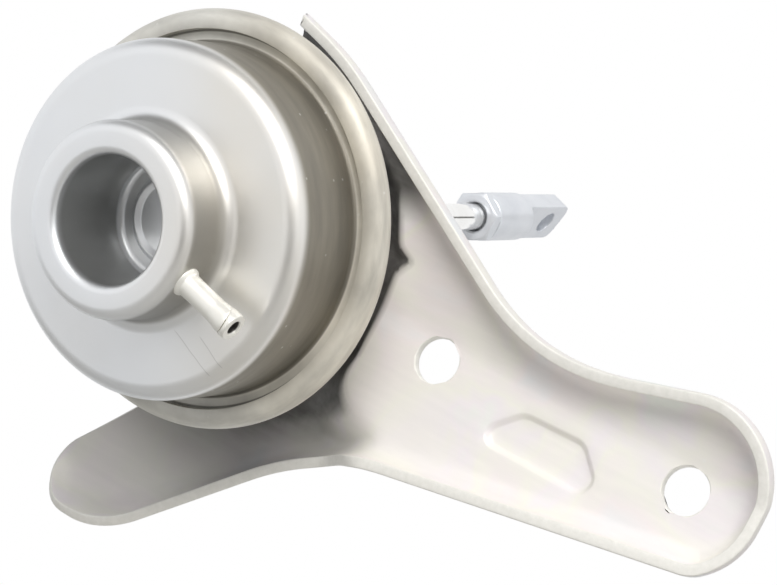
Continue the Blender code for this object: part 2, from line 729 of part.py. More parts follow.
def make_plates(parts, axis, look):
    """Plate over the diaphragm's crown, and the washer between piston and rod shoulder."""
    hole = ROD_SPIGOT_RADIUS + GAP
    ring("diaphragm_plate", hole, PLATE_RADIUS, PLATE_Y, PLATE_Y + PLATE_THICKNESS,
         parts, axis, look, edge=0.2 * MM, steps=HIDDEN_STEPS)
    ring("piston_washer", hole, WASHER_RADIUS, WASHER_Y, WASHER_Y + WASHER_THICKNESS,
         parts, axis, look, steps=SMALL_STEPS)


def make_rod(parts, axis, look):
    """Turned rod: riveted head, spigot through the piston, plain shank and threaded end."""
    end = EYE_Y + ROD_THREAD_LENGTH - JAM_NUT_THICKNESS
    edge = 0.6 * MM
    section = [(0.0, RIVET_Y), (ROD_RIVET_RADIUS * 0.7, RIVET_Y),
               (ROD_RIVET_RADIUS, RIVET_Y + ROD_RIVET_HEIGHT * 0.5),
               (ROD_RIVET_RADIUS, RIVET_Y + ROD_RIVET_HEIGHT),
               (ROD_SPIGOT_RADIUS, RIVET_Y + ROD_RIVET_HEIGHT),
               (ROD_SPIGOT_RADIUS, ROD_SHOULDER_Y), (ROD_RADIUS, ROD_SHOULDER_Y),
               (ROD_RADIUS, end - edge), (ROD_RADIUS - edge, end), (0.0, end)]
    return turned("rod", section, parts, axis, look, steps=HIDDEN_STEPS)


def make_hex_nut(name, flats, thickness, hole, start, parts, cutters, axis, look,
                 spot=(0.0, 0.0, 0.0), spin=0.0):
    """Hexagon nut: a six-sided prism cut to a turned ring with chamfered rims."""
    corner = flats / math.sqrt(3.0)
    mesh = bpy.data.meshes.new(name)
    shape = bmesh.new()
    bmesh.ops.create_cone(shape, cap_ends=True, segments=6, radius1=corner, radius2=corner,
                          depth=thickness)
    shape.to_mesh(mesh)
    shape.free()
    nut = bpy.data.objects.new(name, mesh)
    turn = (Matrix.Rotation(spin, 3, "Y") @ Matrix.Rotation(CANISTER_ANGLE, 3, "X")).to_quaternion()
    place(nut, parts, axis, turn, Vector(spot) + BACKWARD * (start + thickness / 2.0))
    land = flats * 0.475
    slope = (corner - land) * math.tan(math.radians(30.0))
    margin = 0.2 * MM
    rim = slope + margin * math.tan(math.radians(30.0))
    section = [(hole, start), (land, start), (corner + margin, start + rim),
               (corner + margin, start + thickness - rim), (land, start + thickness),
               (hole, start + thickness)]
    blank = turned(name + "_blank", section, cutters, axis, steps=SMALL_STEPS, spot=spot)
    use_cutter(nut, blank, "INTERSECT")
    paint(nut, look)
    return nut


def rounded_plate(name, width, length, thickness, radius, group, parent):
    """A flat bar whose far corners are rounded, lying along its own +Z."""
    half = width / 2.0
    corners = [(-half, 0.0, 0.0), (half, 0.0, 0.0), (half, length, radius), (-half, length, radius)]
    points = fillet(corners, closed=True)
    shape = bmesh.new()
    face = shape.faces.new([shape.verts.new((x, -thickness / 2.0, z)) for x, z in points])
    grown_faces = bmesh.ops.extrude_face_region(shape, geom=[face])["geom"]
    moved = [v for v in grown_faces if isinstance(v, bmesh.types.BMVert)]
    bmesh.ops.translate(shape, verts=moved, vec=(0.0, thickness, 0.0))
    bmesh.ops.recalc_face_normals(shape, faces=shape.faces)
    mesh = bpy.data.meshes.new(name)
    shape.to_mesh(mesh)
    shape.free()
    item = bpy.data.objects.new(name, mesh)
    group.objects.link(item)
    item.parent = parent
    return item


def make_rod_end(parts, cutters, axis, look):
    """Rod end: a turned barrel forged flat into a drilled paddle."""
    barrel_end = EYE_Y + EYE_BARREL_LENGTH
    tip = barrel_end + EYE_PADDLE_LENGTH
    edge = 0.4 * MM
    neck = EYE_BARREL_RADIUS * 0.72
    section = [(0.0, EYE_Y), (EYE_BARREL_RADIUS - edge, EYE_Y), (EYE_BARREL_RADIUS, EYE_Y + edge),
               (EYE_BARREL_RADIUS, barrel_end - edge), (EYE_BARREL_RADIUS - edge, barrel_end),
               (neck, barrel_end + EYE_NECK_LENGTH), (0.0, barrel_end + EYE_NECK_LENGTH)]
    eye = turned("rod_end", section, parts, axis, look, steps=32)
    start = EYE_Y + EYE_BARREL_LENGTH * 0.6
    paddle = rounded_plate("paddle_blank", EYE_PADDLE_WIDTH, tip - start, EYE_PADDLE_THICKNESS,
                           EYE_PADDLE_ROUND, cutters, axis)
    upright = Matrix.Rotation(EYE_TURN - math.pi / 2.0, 3, "Y") @ Matrix.Rotation(CANISTER_ANGLE, 3, "X")
    paddle.matrix_local = Matrix.Translation(BACKWARD * start) @ upright.to_4x4()
    use_cutter(eye, paddle, "UNION")
    across = upright @ Vector((0.0, 1.0, 0.0))
    bore = ring("eye_bore", 0.0, EYE_RADIUS, -EYE_PADDLE_THICKNESS, EYE_PADDLE_THICKNESS, cutters,
                axis, steps=SMALL_STEPS, turn=across.to_track_quat("Z", "Y"),
                spot=(0.0, tip - EYE_EDGE_DISTANCE, 0.0))
    use_cutter(eye, bore)
    thread = ring("rod_end_thread", 0.0, ROD_RADIUS + GAP, EYE_Y - edge,
                  EYE_Y + ROD_THREAD_LENGTH - JAM_NUT_THICKNESS + GAP, cutters, axis,
                  steps=SMALL_STEPS)
    use_cutter(eye, thread)
    return eye


def make_spring(parts, axis, look):
    """Coil spring with a closed turn at each end, between spring seat and piston."""
    low = PISTON_Y + PISTON_SHEET + GAP + SPRING_WIRE_RADIUS
    high = BUSH_FLANGE_Y - SPRING_SEAT_SHEET - GAP - SPRING_WIRE_RADIUS
    count = int(SPRING_TURNS * SPRING_STEPS)
    curve = bpy.data.curves.new("return_spring", "CURVE")
    curve.dimensions = "3D"
    curve.bevel_depth = SPRING_WIRE_RADIUS
    curve.bevel_resolution = 1
    curve.use_fill_caps = True
    line = curve.splines.new("POLY")
    line.points.add(count)
    pitch_turns = SPRING_TURNS - 1.0
    for index in range(count + 1):
        turn = SPRING_TURNS * index / count
        share = max(0.0, min(1.0, (turn - 0.5) / pitch_turns))
        closed = 2.2 * SPRING_WIRE_RADIUS
        lift = share * (high - low - closed) + closed * turn / SPRING_TURNS
        angle = turn * math.tau
        line.points[index].co = (SPRING_COIL_RADIUS * math.cos(angle), low + lift,
                                 SPRING_COIL_RADIUS * math.sin(angle), 1.0)
    wire = bpy.data.objects.new("spring_wire", curve)
    parts.objects.link(wire)
    bpy.context.view_layer.update()
    view = wire.evaluated_get(bpy.context.evaluated_depsgraph_get())
    mesh = bpy.data.meshes.new_from_object(view)
    mesh.name = "return_spring"
    bpy.data.objects.remove(wire)
    shape = bmesh.new()
    shape.from_mesh(mesh)
    bmesh.ops.remove_doubles(shape, verts=shape.verts, dist=1e-7)
    bmesh.ops.recalc_face_normals(shape, faces=shape.faces)
    shape.to_mesh(mesh)
    shape.free()
    spring = place(bpy.data.objects.new("return_spring", mesh), parts, axis)
    paint(spring, look)
    return spring


def make_guide(parts, axis, bush_look, steel):
    """Spring seat, the flanged bush that guides the rod, and the clip that holds the bush."""
    inner = BUSH_FLANGE_RADIUS + GAP
    corners = [(SPRING_SEAT_RADIUS, BUSH_FLANGE_Y, 0.0),
               (inner, BUSH_FLANGE_Y, SPRING_SEAT_SHEET),
               (inner, BUSH_FLANGE_Y - SPRING_SEAT_LIP, 0.0)]
    turned("spring_seat", sheet_section(corners, SPRING_SEAT_SHEET), parts, axis, steel,
           steps=HIDDEN_STEPS)
    bore = ROD_RADIUS + RUNNING_GAP
    flange = BUSH_FLANGE_Y - BUSH_FLANGE_THICKNESS
    end = SEAT_BACK_Y + BUSH_STAND_OUT
    section = [(bore, flange), (BUSH_FLANGE_RADIUS, flange), (BUSH_FLANGE_RADIUS, BUSH_FLANGE_Y),
               (BUSH_NECK_RADIUS, BUSH_FLANGE_Y), (BUSH_NECK_RADIUS, end - 0.5 * MM),
               (BUSH_NECK_RADIUS - 0.5 * MM, end), (bore, end)]
    turned("guide_bush", section, parts, axis, bush_look, steps=HIDDEN_STEPS)
    ring("bush_clip", BUSH_NECK_RADIUS + GAP, CLIP_RADIUS, WASHER_BACK_Y,
         WASHER_BACK_Y + CLIP_THICKNESS, parts, axis, steel, edge=0.2 * MM, steps=HIDDEN_STEPS)


def make_studs(parts, cutters, axis, steel, plated):
    """Two headed studs with their lock washers and nuts behind the bracket."""
    for number, spot in enumerate(stud_spots(), 1):
        head = BUSH_FLANGE_Y - STUD_HEAD_THICKNESS
        end = SEAT_BACK_Y + STUD_STAND_OUT
        edge = 0.6 * MM
        section = [(0.0, head), (STUD_HEAD_RADIUS, head), (STUD_HEAD_RADIUS, BUSH_FLANGE_Y),
                   (STUD_RADIUS, BUSH_FLANGE_Y), (STUD_RADIUS, end - edge),
                   (STUD_RADIUS - edge, end), (0.0, end)]
        turned(f"stud_{number}", section, parts, axis, steel, steps=SMALL_STEPS, spot=spot)
        hole = STUD_RADIUS + GAP
        washer = ring(f"lock_washer_{number}", hole, LOCK_WASHER_RADIUS, WASHER_BACK_Y,
                      WASHER_BACK_Y + LOCK_WASHER_THICKNESS, parts, axis, plated,
                      steps=SMALL_STEPS, spot=spot)
        slit = make_box(f"washer_slit_{number}", LOCK_WASHER_SLIT, LOCK_WASHER_THICKNESS * 3.0,
                        LOCK_WASHER_RADIUS * 2.0, cutters, axis)
        slit.location = spot + Vector((0.0, WASHER_BACK_Y, -LOCK_WASHER_RADIUS))
        use_cutter(washer, slit)
        make_hex_nut(f"stud_nut_{number}", STUD_NUT_FLATS, STUD_NUT_THICKNESS, hole, NUT_Y,
                     parts, cutters, axis, plated, spot=spot, spin=math.radians(17.0 * number))


def make_box(name, wide, deep, high, group, parent):
    """A box centred on its own origin."""
    shape = bmesh.new()
    bmesh.ops.create_cube(shape, size=1.0)
    bmesh.ops.scale(shape, verts=shape.verts, vec=(wide, deep, high))
    mesh = bpy.data.meshes.new(name)
    shape.to_mesh(mesh)
    shape.free()
    item = bpy.data.objects.new(name, mesh)
    group.objects.link(item)
    item.parent = parent
    return item


def make_bracket(parts, cutters, axis, look):
    """Stamped bracket: seat for the canister, raised arm with two bolt holes, curled wing."""
    points, faces = bracket_sheet()
    bracket = mesh_object("bracket", points, [], faces)
    place(bracket, parts, axis, bracket_turn().to_quaternion())
    wall = bracket.modifiers.new("sheet", "SOLIDIFY")
    wall.thickness = SHEET
    wall.offset = -1.0
    wall.use_even_offset = True
    square_on = Matrix.Rotation(CANISTER_ANGLE, 3, "X").to_quaternion()
    reach = 4.0 * SHEET
    holes = [("bush_hole", BUSH_NECK_RADIUS + GAP, Vector((0.0, SEAT_Y, 0.0)))]
    holes += [(f"bracket_stud_hole_{number}", STUD_RADIUS + BOLT_CLEARANCE, spot + BACKWARD * SEAT_Y)
              for number, spot in enumerate(stud_spots(), 1)]
    for name, radius, spot in holes:
        use_cutter(bracket, ring(name, 0.0, radius, -reach, reach, cutters, axis, steps=32,
                                 turn=square_on, spot=spot))
    across = (bracket_turn() @ arm_normal()).to_track_quat("Z", "Y")
    for number in range(2):
        spot = arm_point(BOLT_HOLE_A + number * BOLT_SPACING, BOLT_HOLE_B)
        use_cutter(bracket, ring(f"bolt_hole_{number + 1}", 0.0, BOLT_HOLE_RADIUS, -reach, reach,
                                 cutters, axis, steps=32, turn=across, spot=spot))
    size = 60.0 * MM
    trim = make_box("tip_trim", size, size, size, cutters, axis)
    corner = Vector((TRIM_A, RIM_Y, TRIM_B + size / 2.0))
    aside = Matrix.Rotation(TRIM_SLOPE, 4, "Z") @ Matrix.Translation((-size / 2.0, 0.0, 0.0))
    trim.matrix_local = bracket_turn().to_4x4() @ Matrix.Translation(corner) @ aside
    use_cutter(bracket, trim)
    paint(bracket, look)
    return bracket


def build():
    """Makes every piece and the axis that they are placed from."""
    clear_scene()
    parts = new_collection("turbo_wastegate")
    cutters = new_collection("cutters")
    plated = metal("zinc_plate", (0.62, 0.61, 0.55), 0.34)
    passivated = metal("passivated_sheet", (0.70, 0.69, 0.66), 0.30)
    polished = metal("polished_steel", (0.78, 0.77, 0.74), 0.14)
    grey_zinc = metal("matt_zinc", (0.52, 0.55, 0.60), 0.42)
    spring_steel = metal("spring_steel", (0.30, 0.30, 0.31), 0.35)
    bronze = metal("sintered_bronze", (0.60, 0.43, 0.24), 0.55)
    rubber = metal("diaphragm_rubber", (0.03, 0.03, 0.03), 0.7, metallic=0.0)
    axis = bpy.data.objects.new("canister_axis", None)
    parts.objects.link(axis)
    datum = arm_point(BOLT_HOLE_A + DATUM_FROM_HOLE, BOLT_HOLE_B, behind=SHEET)
    axis.location = -datum
    make_front_cover(parts, cutters, axis, plated)
    make_nipple(parts, axis, grey_zinc)
    make_rear_shell(parts, cutters, axis, plated)
    make_diaphragm(parts, axis, rubber)
    make_piston(parts, axis, plated)
    make_plates(parts, axis, plated)
    make_rod(parts, axis, polished)
    make_spring(parts, axis, spring_steel)
    make_guide(parts, axis, bronze, grey_zinc)
    make_bracket(parts, cutters, axis, passivated)
    make_studs(parts, cutters, axis, grey_zinc, grey_zinc)
    make_hex_nut("jam_nut", JAM_NUT_FLATS, JAM_NUT_THICKNESS, ROD_RADIUS + GAP, JAM_NUT_Y,
                 parts, cutters, axis, grey_zinc, spin=math.radians(30.0))
    make_rod_end(parts, cutters, axis, grey_zinc)
    for item in parts.objects:
        if item.type == "MESH":
            smooth(item)


build()
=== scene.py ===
# %% [markdown]
# # A turbo wastegate actuator, dressed around its solids
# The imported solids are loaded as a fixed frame. They have the right sizes but few facets, so each
# piece is made again here with fine profiles, threads and rolled edges, and gets its own finish.
# Nothing in the frame is moved: each new piece rides on the body of the solid that it stands for.

# %% Load the frame
import json
import math

import bmesh
import bpy
import numpy as np
from mathutils import Matrix, Vector
from mathutils.geometry import delaunay_2d_cdt


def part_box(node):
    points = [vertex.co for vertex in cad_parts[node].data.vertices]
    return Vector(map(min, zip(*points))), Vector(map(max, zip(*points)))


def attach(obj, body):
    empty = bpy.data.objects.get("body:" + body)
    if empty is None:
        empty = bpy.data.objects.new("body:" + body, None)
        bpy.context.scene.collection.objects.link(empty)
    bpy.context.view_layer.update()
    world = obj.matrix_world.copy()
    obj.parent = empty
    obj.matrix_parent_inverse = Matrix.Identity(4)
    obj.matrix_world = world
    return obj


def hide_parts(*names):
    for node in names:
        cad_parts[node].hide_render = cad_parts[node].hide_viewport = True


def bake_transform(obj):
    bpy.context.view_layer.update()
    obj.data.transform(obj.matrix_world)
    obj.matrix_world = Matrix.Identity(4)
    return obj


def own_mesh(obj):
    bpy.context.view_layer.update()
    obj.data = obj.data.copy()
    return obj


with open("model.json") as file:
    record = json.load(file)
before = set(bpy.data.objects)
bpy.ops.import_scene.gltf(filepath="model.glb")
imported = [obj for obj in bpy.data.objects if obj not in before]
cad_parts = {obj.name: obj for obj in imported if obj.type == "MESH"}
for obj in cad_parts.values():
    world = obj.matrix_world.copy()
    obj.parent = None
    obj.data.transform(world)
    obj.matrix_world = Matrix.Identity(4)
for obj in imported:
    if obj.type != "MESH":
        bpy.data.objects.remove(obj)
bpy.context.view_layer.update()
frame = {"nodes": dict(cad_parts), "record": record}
scene = bpy.context.scene
MM = 0.001

# %% [markdown]
# The canister's axis runs along +Y. Every turned piece is drawn as a profile round this axis, so
# its place is read once from the front cover's solid: the middle of its box in X and Z, and in Y
# the crimped bead, 30.6 mm behind the front of the boss.

# %% Find the canister's axis
BOSS_FACE = -30.6
low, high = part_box("front_cover")
AXIS = Vector(((low.x + high.x) / 2, low.y - BOSS_FACE * MM, (low.z + high.z) / 2))
ALONG_Y = Matrix.Translation(AXIS) @ Matrix.Rotation(math.radians(-90.0), 4, "X")
print("axis", [round(v / MM, 3) for v in AXIS])


def from_axis(x, y, z):
    """A point given in millimetres from the canister's axis, in the model's own metres."""
    return AXIS + Vector((x, y, z)) * MM


# %% [markdown]
# The photograph was taken from the front right, a little above the axis, with a long lens. The
# camera stands 450 mm away. A long lens keeps the far end of the bracket nearly as large as the
# canister, as it is in the photograph.

# %% Camera
TURN, RISE = math.radians(31.25), math.radians(2.04)
FOCAL_PIXELS, IMAGE_WIDTH, SENSOR = 2500.0, 777.0, 36.0


def sideways(turn):
    """The level way to the right of someone who looks at the axis from a turn round it."""
    return Vector((math.cos(turn), math.sin(turn), 0.0))


def outwards(turn, rise):
    """The way out from the axis for a turn round it and a rise."""
    return Vector((math.sin(turn) * math.cos(rise), -math.cos(turn) * math.cos(rise),
        math.sin(rise)))


right, back = sideways(TURN), outwards(TURN, RISE)
camera_data = bpy.data.cameras.new("camera")
camera_data.sensor_width = SENSOR
camera_data.lens = FOCAL_PIXELS / IMAGE_WIDTH * SENSOR
camera_data.clip_start, camera_data.clip_end = 0.01, 20.0
camera = bpy.data.objects.new("camera", camera_data)
scene.collection.objects.link(camera)
turn_matrix = Matrix((right, back.cross(right), back)).transposed().to_4x4()
camera.matrix_world = Matrix.Translation(from_axis(259.0, -365.5, 2.8)) @ turn_matrix
scene.camera = camera
print("lens", round(camera_data.lens, 1), "mm")

# %% [markdown]
# Node trees are built in code here, for looks and for shapes alike. One small helper adds a node,
# sets its options, and fills each socket with a value or with another node's output. Short helpers
# do the sums, and the last one starts a group with named inputs and outputs.

# %% Helpers for node trees
def add(tree, kind, sockets=None, **settings):
    """Adds a node; sockets maps an input's name or number to a value or to an output socket."""
    made = tree.nodes.new(kind)
    for key, value in settings.items():
        setattr(made, key, value)
    for key, value in (sockets or {}).items():
        if isinstance(value, bpy.types.NodeSocket):
            tree.links.new(value, made.inputs[key])
        else:
            made.inputs[key].default_value = value
    return made


def tree_of(*values):
    """The tree that the first output socket among the values belongs to."""
    return next(value for value in values if isinstance(value, bpy.types.NodeSocket)).id_data


def math_node(operation, *values, clamp=False):
    """One Math node, next to the sockets that it reads; returns its output."""
    return add(tree_of(*values), "ShaderNodeMath", dict(enumerate(values)), operation=operation,
        use_clamp=clamp).outputs[0]


def times(first, *others, clamp=False):
    """The product of two or more values."""
    for value in others:
        first = math_node("MULTIPLY", first, value, clamp=clamp)
    return first


def plus(one, two, clamp=False):
    return math_node("ADD", one, two, clamp=clamp)


def minus(one, two):
    return math_node("SUBTRACT", one, two)


def over(one, two, clamp=False):
    return math_node("DIVIDE", one, two, clamp=clamp)


def times_plus(one, two, three):
    return math_node("MULTIPLY_ADD", one, two, three)


def split_of(vector):
    """The X, Y and Z of a vector."""
    return add(vector.id_data, "ShaderNodeSeparateXYZ", {0: vector}).outputs


def joined(tree, **parts):
    """A vector from its X, Y or Z."""
    return add(tree, "ShaderNodeCombineXYZ", parts).outputs[0]


def length_of(vector):
    """The length of a vector."""
    return add(vector.id_data, "ShaderNodeVectorMath", {0: vector},
        operation="LENGTH").outputs["Value"]


def new_tree(name, kind, inputs, outputs):
    """A node group with named sockets; returns it with its input and output sockets."""
    tree = bpy.data.node_groups.new(name, kind)
    for label, socket_kind, value in inputs:
        socket = tree.interface.new_socket(label, in_out="INPUT",
            socket_type="NodeSocket" + socket_kind)
        if value is not None:
            socket.default_value = value
    for label, socket_kind in outputs:
        tree.interface.new_socket(label, in_out="OUTPUT", socket_type="NodeSocket" + socket_kind)
    return tree, tree.nodes.new("NodeGroupInput").outputs, tree.nodes.new("NodeGroupOutput").inputs

# %% [markdown]
# The background is plain white. Bare metal shows what stands round it, so the room is white too
# for every ray that a metal reflects. The soft light on rough surfaces is lower, to leave some
# contrast to the lamp and the cards.

# %% White room
def seen_directly(tree):
    """1 for the camera's own rays and for those that metal or glass sends on."""
    rays = add(tree, "ShaderNodeLightPath").outputs
    seen = plus(rays["Is Camera Ray"], rays["Is Transmission Ray"])
    return plus(seen, rays["Is Glossy Ray"], clamp=True)


scene.view_settings.view_transform = "Standard"
world = bpy.data.worlds.new("white_room")
scene.world = world
world.use_nodes = True
room = world.node_tree
room.nodes.clear()
sees_white = seen_directly(room)
shown = add(room, "ShaderNodeBackground", {"Color": (1.0, 1.0, 1.0, 1.0), "Strength": 1.0})
ROOM_LIGHT = 0.32
lighting = add(room, "ShaderNodeBackground",
    {"Color": (0.95, 0.97, 1.0, 1.0), "Strength": ROOM_LIGHT})
either = add(room, "ShaderNodeMixShader",
    {0: sees_white, 1: lighting.outputs[0], 2: shown.outputs[0]})
add(room, "ShaderNodeOutputWorld", {"Surface": either.outputs[0]})
print("world", world.name)

# %% [markdown]
# A product photographer shapes the reflections of bare metal with cards and lamps. Each card here
# is a flat sheet that the camera doesn't see. It is marked as stage, since it isn't part of the
# object.

# %% Helpers for cards and lamps
def stage_card(name, points, colour, unseen=True):
    """A flat card of the studio, given by its corners in millimetres from the axis."""
    mesh = bpy.data.meshes.new(name)
    mesh.from_pydata([from_axis(*point) for point in points], [], [tuple(range(len(points)))])
    card = bpy.data.objects.new(name, mesh)
    scene.collection.objects.link(card)
    paint = bpy.data.materials.new(name)
    paint.use_nodes = True
    shader = paint.node_tree.nodes["Principled BSDF"]
    shader.inputs["Base Color"].default_value = (*colour, 1.0)
    shader.inputs["Roughness"].default_value = 0.9
    shader.inputs["Specular IOR Level"].default_value = 0.0
    mesh.materials.append(paint)
    card.visible_camera = not unseen
    return card


def level_card(name, left, right, front, rear, height, colour, unseen=True):
    """A card that lies level."""
    corners = ((left, front), (right, front), (right, rear), (left, rear))
    return stage_card(name, [(x, y, height) for x, y in corners], colour, unseen)


def facing_card(name, azimuth, elevation, distance, width, height, colour):
    """An upright card that faces the canister, placed by the direction in which it stands."""
    out = outwards(math.radians(azimuth), math.radians(elevation))
    side = sideways(math.radians(azimuth)) * (width / 2.0)
    rise = out.cross(side).normalized() * (height / 2.0)
    corners = [out * distance + s * side + r * rise
        for s, r in ((-1, -1), (1, -1), (1, 1), (-1, 1))]
    return stage_card(name, [tuple(corner) for corner in corners], colour)


def lamp(name, spot, towards, width, height, watts, colour):
    """A soft rectangular lamp, placed and aimed in millimetres from the axis."""
    data = bpy.data.lights.new(name, "AREA")
    data.shape = "RECTANGLE"
    data.size, data.size_y = width * MM, height * MM
    data.energy = watts
    data.color = colour
    item = bpy.data.objects.new(name, data)
    item.location = from_axis(*spot)
    aim = from_axis(*towards) - item.location
    item.rotation_euler = aim.to_track_quat("-Z", "Y").to_euler()
    scene.collection.objects.link(item)
    return item


print("cards and lamps are given in mm from the axis")

# %% [markdown]
# The floor lies well below the part, out of the picture's lower edge, and shows plain white to
# the camera. One broad lamp stands high at the front right. A dark card stands where the camera
# is, as in the photograph: it darkens the cup's wall, the boss and the recess, which look back
# at it. A narrow dark strip behind and a card above do the same for faces that look there.

# %% Floor, lamp and cards
FLOOR, LOW_CARD, HIGH_CARD = -190.0, -182.0, 620.0
floor = level_card("floor", -2500, 2500, -2500, 2500, FLOOR, (0.85, 0.85, 0.85), unseen=False)
floor_tree = floor.data.materials[0].node_tree
pure_white = add(floor_tree, "ShaderNodeEmission", {"Color": (1.0, 1.0, 1.0, 1.0)})
floor_mix = add(floor_tree, "ShaderNodeMixShader",
    {0: seen_directly(floor_tree), 1: floor_tree.nodes["Principled BSDF"].outputs[0],
    2: pure_white.outputs[0]})
floor_tree.links.new(floor_mix.outputs[0], floor_tree.nodes["Material Output"].inputs["Surface"])
lamp("high_lamp", (690, -690, 840), (0, 0, 0), 800, 760, 15.2, (1.0, 0.985, 0.965))
facing_card("camera_side_card", 33.0, 0.0, 620.0, 470.0, 470.0, (0.27, 0.26, 0.24))
facing_card("back_strip", 149.0, -2.0, 620.0, 340.0, 66.0, (0.30, 0.30, 0.29))
level_card("low_card", -900, 900, -900, 60, LOW_CARD, (0.72, 0.71, 0.68))
level_card("high_card", -500, 500, -300, 300, HIGH_CARD, (0.6, 0.6, 0.6))
print("floor", FLOOR, "mm below the axis")

# %% [markdown]
# A turned piece is a profile swept round the axis. The profile is written as corners, each with
# its own radius, and a fillet function rounds them, as a toolmaker dimensions a drawn cup.
# The Screw modifier sweeps it, which keeps the profile easy to change.

# %% Profiles
def fillet(corners, closed=False, arc_step=6.0):
    """Replaces each corner (x, y, radius) of a path by an arc; returns points as vectors."""
    points = []
    count = len(corners)
    for index, (x, y, radius, *_) in enumerate(corners):
        here = Vector((x, y))
        if radius <= 0.0 or (not closed and index in (0, count - 1)):
            points.append(here)
            continue
        before = (Vector(corners[index - 1][:2]) - here).normalized()
        after = (Vector(corners[(index + 1) % count][:2]) - here).normalized()
        half = math.acos(max(-1.0, min(1.0, before.dot(after)))) / 2.0
        sweep = math.pi - 2.0 * half
        middle = here + (before + after).normalized() * (radius / math.sin(half))
        start = here + before * (radius / math.tan(half)) - middle
        side = 1.0 if before.x * after.y - before.y * after.x < 0.0 else -1.0
        parts = max(2, math.ceil(sweep / math.radians(arc_step)))
        for part in range(parts + 1):
            points.append(middle + Matrix.Rotation(side * sweep * part / parts, 2) @ start)
    return points


def offset_path(corners, distance):
    """Moves each line of an open path to its left and gives the corners the matching radii."""
    spots = [Vector(corner[:2]) for corner in corners]
    runs = [(b - a).normalized() for a, b in zip(spots, spots[1:])]
    lefts = [Vector((-run.y, run.x)) for run in runs]
    moved = [(*(spots[0] + lefts[0] * distance), 0.0)]
    for index in range(1, len(spots) - 1):
        one, two = lefts[index - 1], lefts[index]
        shift = (one + two) * (distance / (1.0 + one.dot(two)))
        bends_left = runs[index - 1].cross(runs[index]) > 0.0
        radius = corners[index][2] + (-distance if bends_left else distance)
        moved.append((*(spots[index] + shift), max(radius, 0.0)))
    moved.append((*(spots[-1] + lefts[-1] * distance), 0.0))
    return moved


def sheet_section(corners, thickness):
    """Closed section of a sheet whose one side follows the corners."""
    return fillet(corners) + fillet(offset_path(corners, thickness))[::-1]


# %% [markdown]
# Each piece ends as a plain mesh at the origin, with its place in its points. The modifiers are
# evaluated once, doubles are merged, and the faces are turned outward.

# %% From modifiers to a plain mesh
def link_mesh(name, mesh):
    """A new object for a mesh, in the scene."""
    item = bpy.data.objects.new(name, mesh)
    scene.collection.objects.link(item)
    return item


def from_shape(name, shape):
    """A new object made of a bmesh, which is freed."""
    mesh = bpy.data.meshes.new(name)
    shape.to_mesh(mesh)
    shape.free()
    return link_mesh(name, mesh)


LOCAL = Matrix.Identity(4)


def plain_mesh(item, name, matrix=LOCAL):
    """Turns an object with live modifiers into a plain mesh at the origin, faces outward."""
    item.matrix_world = Matrix.Identity(4)
    bpy.context.view_layer.update()
    view = item.evaluated_get(bpy.context.evaluated_depsgraph_get())
    mesh = bpy.data.meshes.new_from_object(view)
    mesh.name = name
    mesh.transform(matrix)
    bpy.data.objects.remove(item)
    shape = bmesh.new()
    shape.from_mesh(mesh)
    bmesh.ops.remove_doubles(shape, verts=shape.verts, dist=1e-6)
    bmesh.ops.dissolve_degenerate(shape, edges=shape.edges, dist=1e-7)
    bmesh.ops.recalc_face_normals(shape, faces=shape.faces)
    shape.to_mesh(mesh)
    shape.free()
    return link_mesh(name, mesh)


def shade(item, angle=32.0):
    """Smooth shading with the true edges kept."""
    item.data.shade_smooth()
    item.data.set_sharp_from_angle(angle=math.radians(angle))
    return item


def cut_with(item, cutters, operation="DIFFERENCE"):
    """Cuts an object with closed solids, which are gone afterwards; returns the new object."""
    for cutter in cutters:
        tool = item.modifiers.new("cut", "BOOLEAN")
        tool.solver = "EXACT"
        tool.operation = operation
        tool.object = cutter
    made = plain_mesh(item, item.name)
    for cutter in cutters:
        bpy.data.objects.remove(cutter)
    return made


def soften(item, width, angle):
    """Breaks the sharp edges of an object."""
    soft = item.modifiers.new("broken_edges", "BEVEL")
    soft.width, soft.segments, soft.limit_method = width * MM, 2, "ANGLE"
    soft.angle_limit = math.radians(angle)
    soft.use_clamp_overlap = False
    return plain_mesh(item, item.name)


# %% [markdown]
# A screw thread is a ridge that winds round a shank. A Geometry Nodes tree cuts it into a turned
# piece: each point sinks by a wave of its height less its angle, and the wave fades at both ends,
# as where a die starts and stops. The pitch and depth stay named inputs.

# %% Thread tree
def close_tree(shape, given, result):
    """Ends a tree: real faces with the material that was asked for; returns the tree."""
    tree = shape.id_data
    whole = add(tree, "GeometryNodeRealizeInstances", {0: shape})
    coated = add(tree, "GeometryNodeSetMaterial",
        {"Geometry": whole.outputs[0], "Material": given["Material"]})
    tree.links.new(coated.outputs[0], result["Geometry"])
    return tree


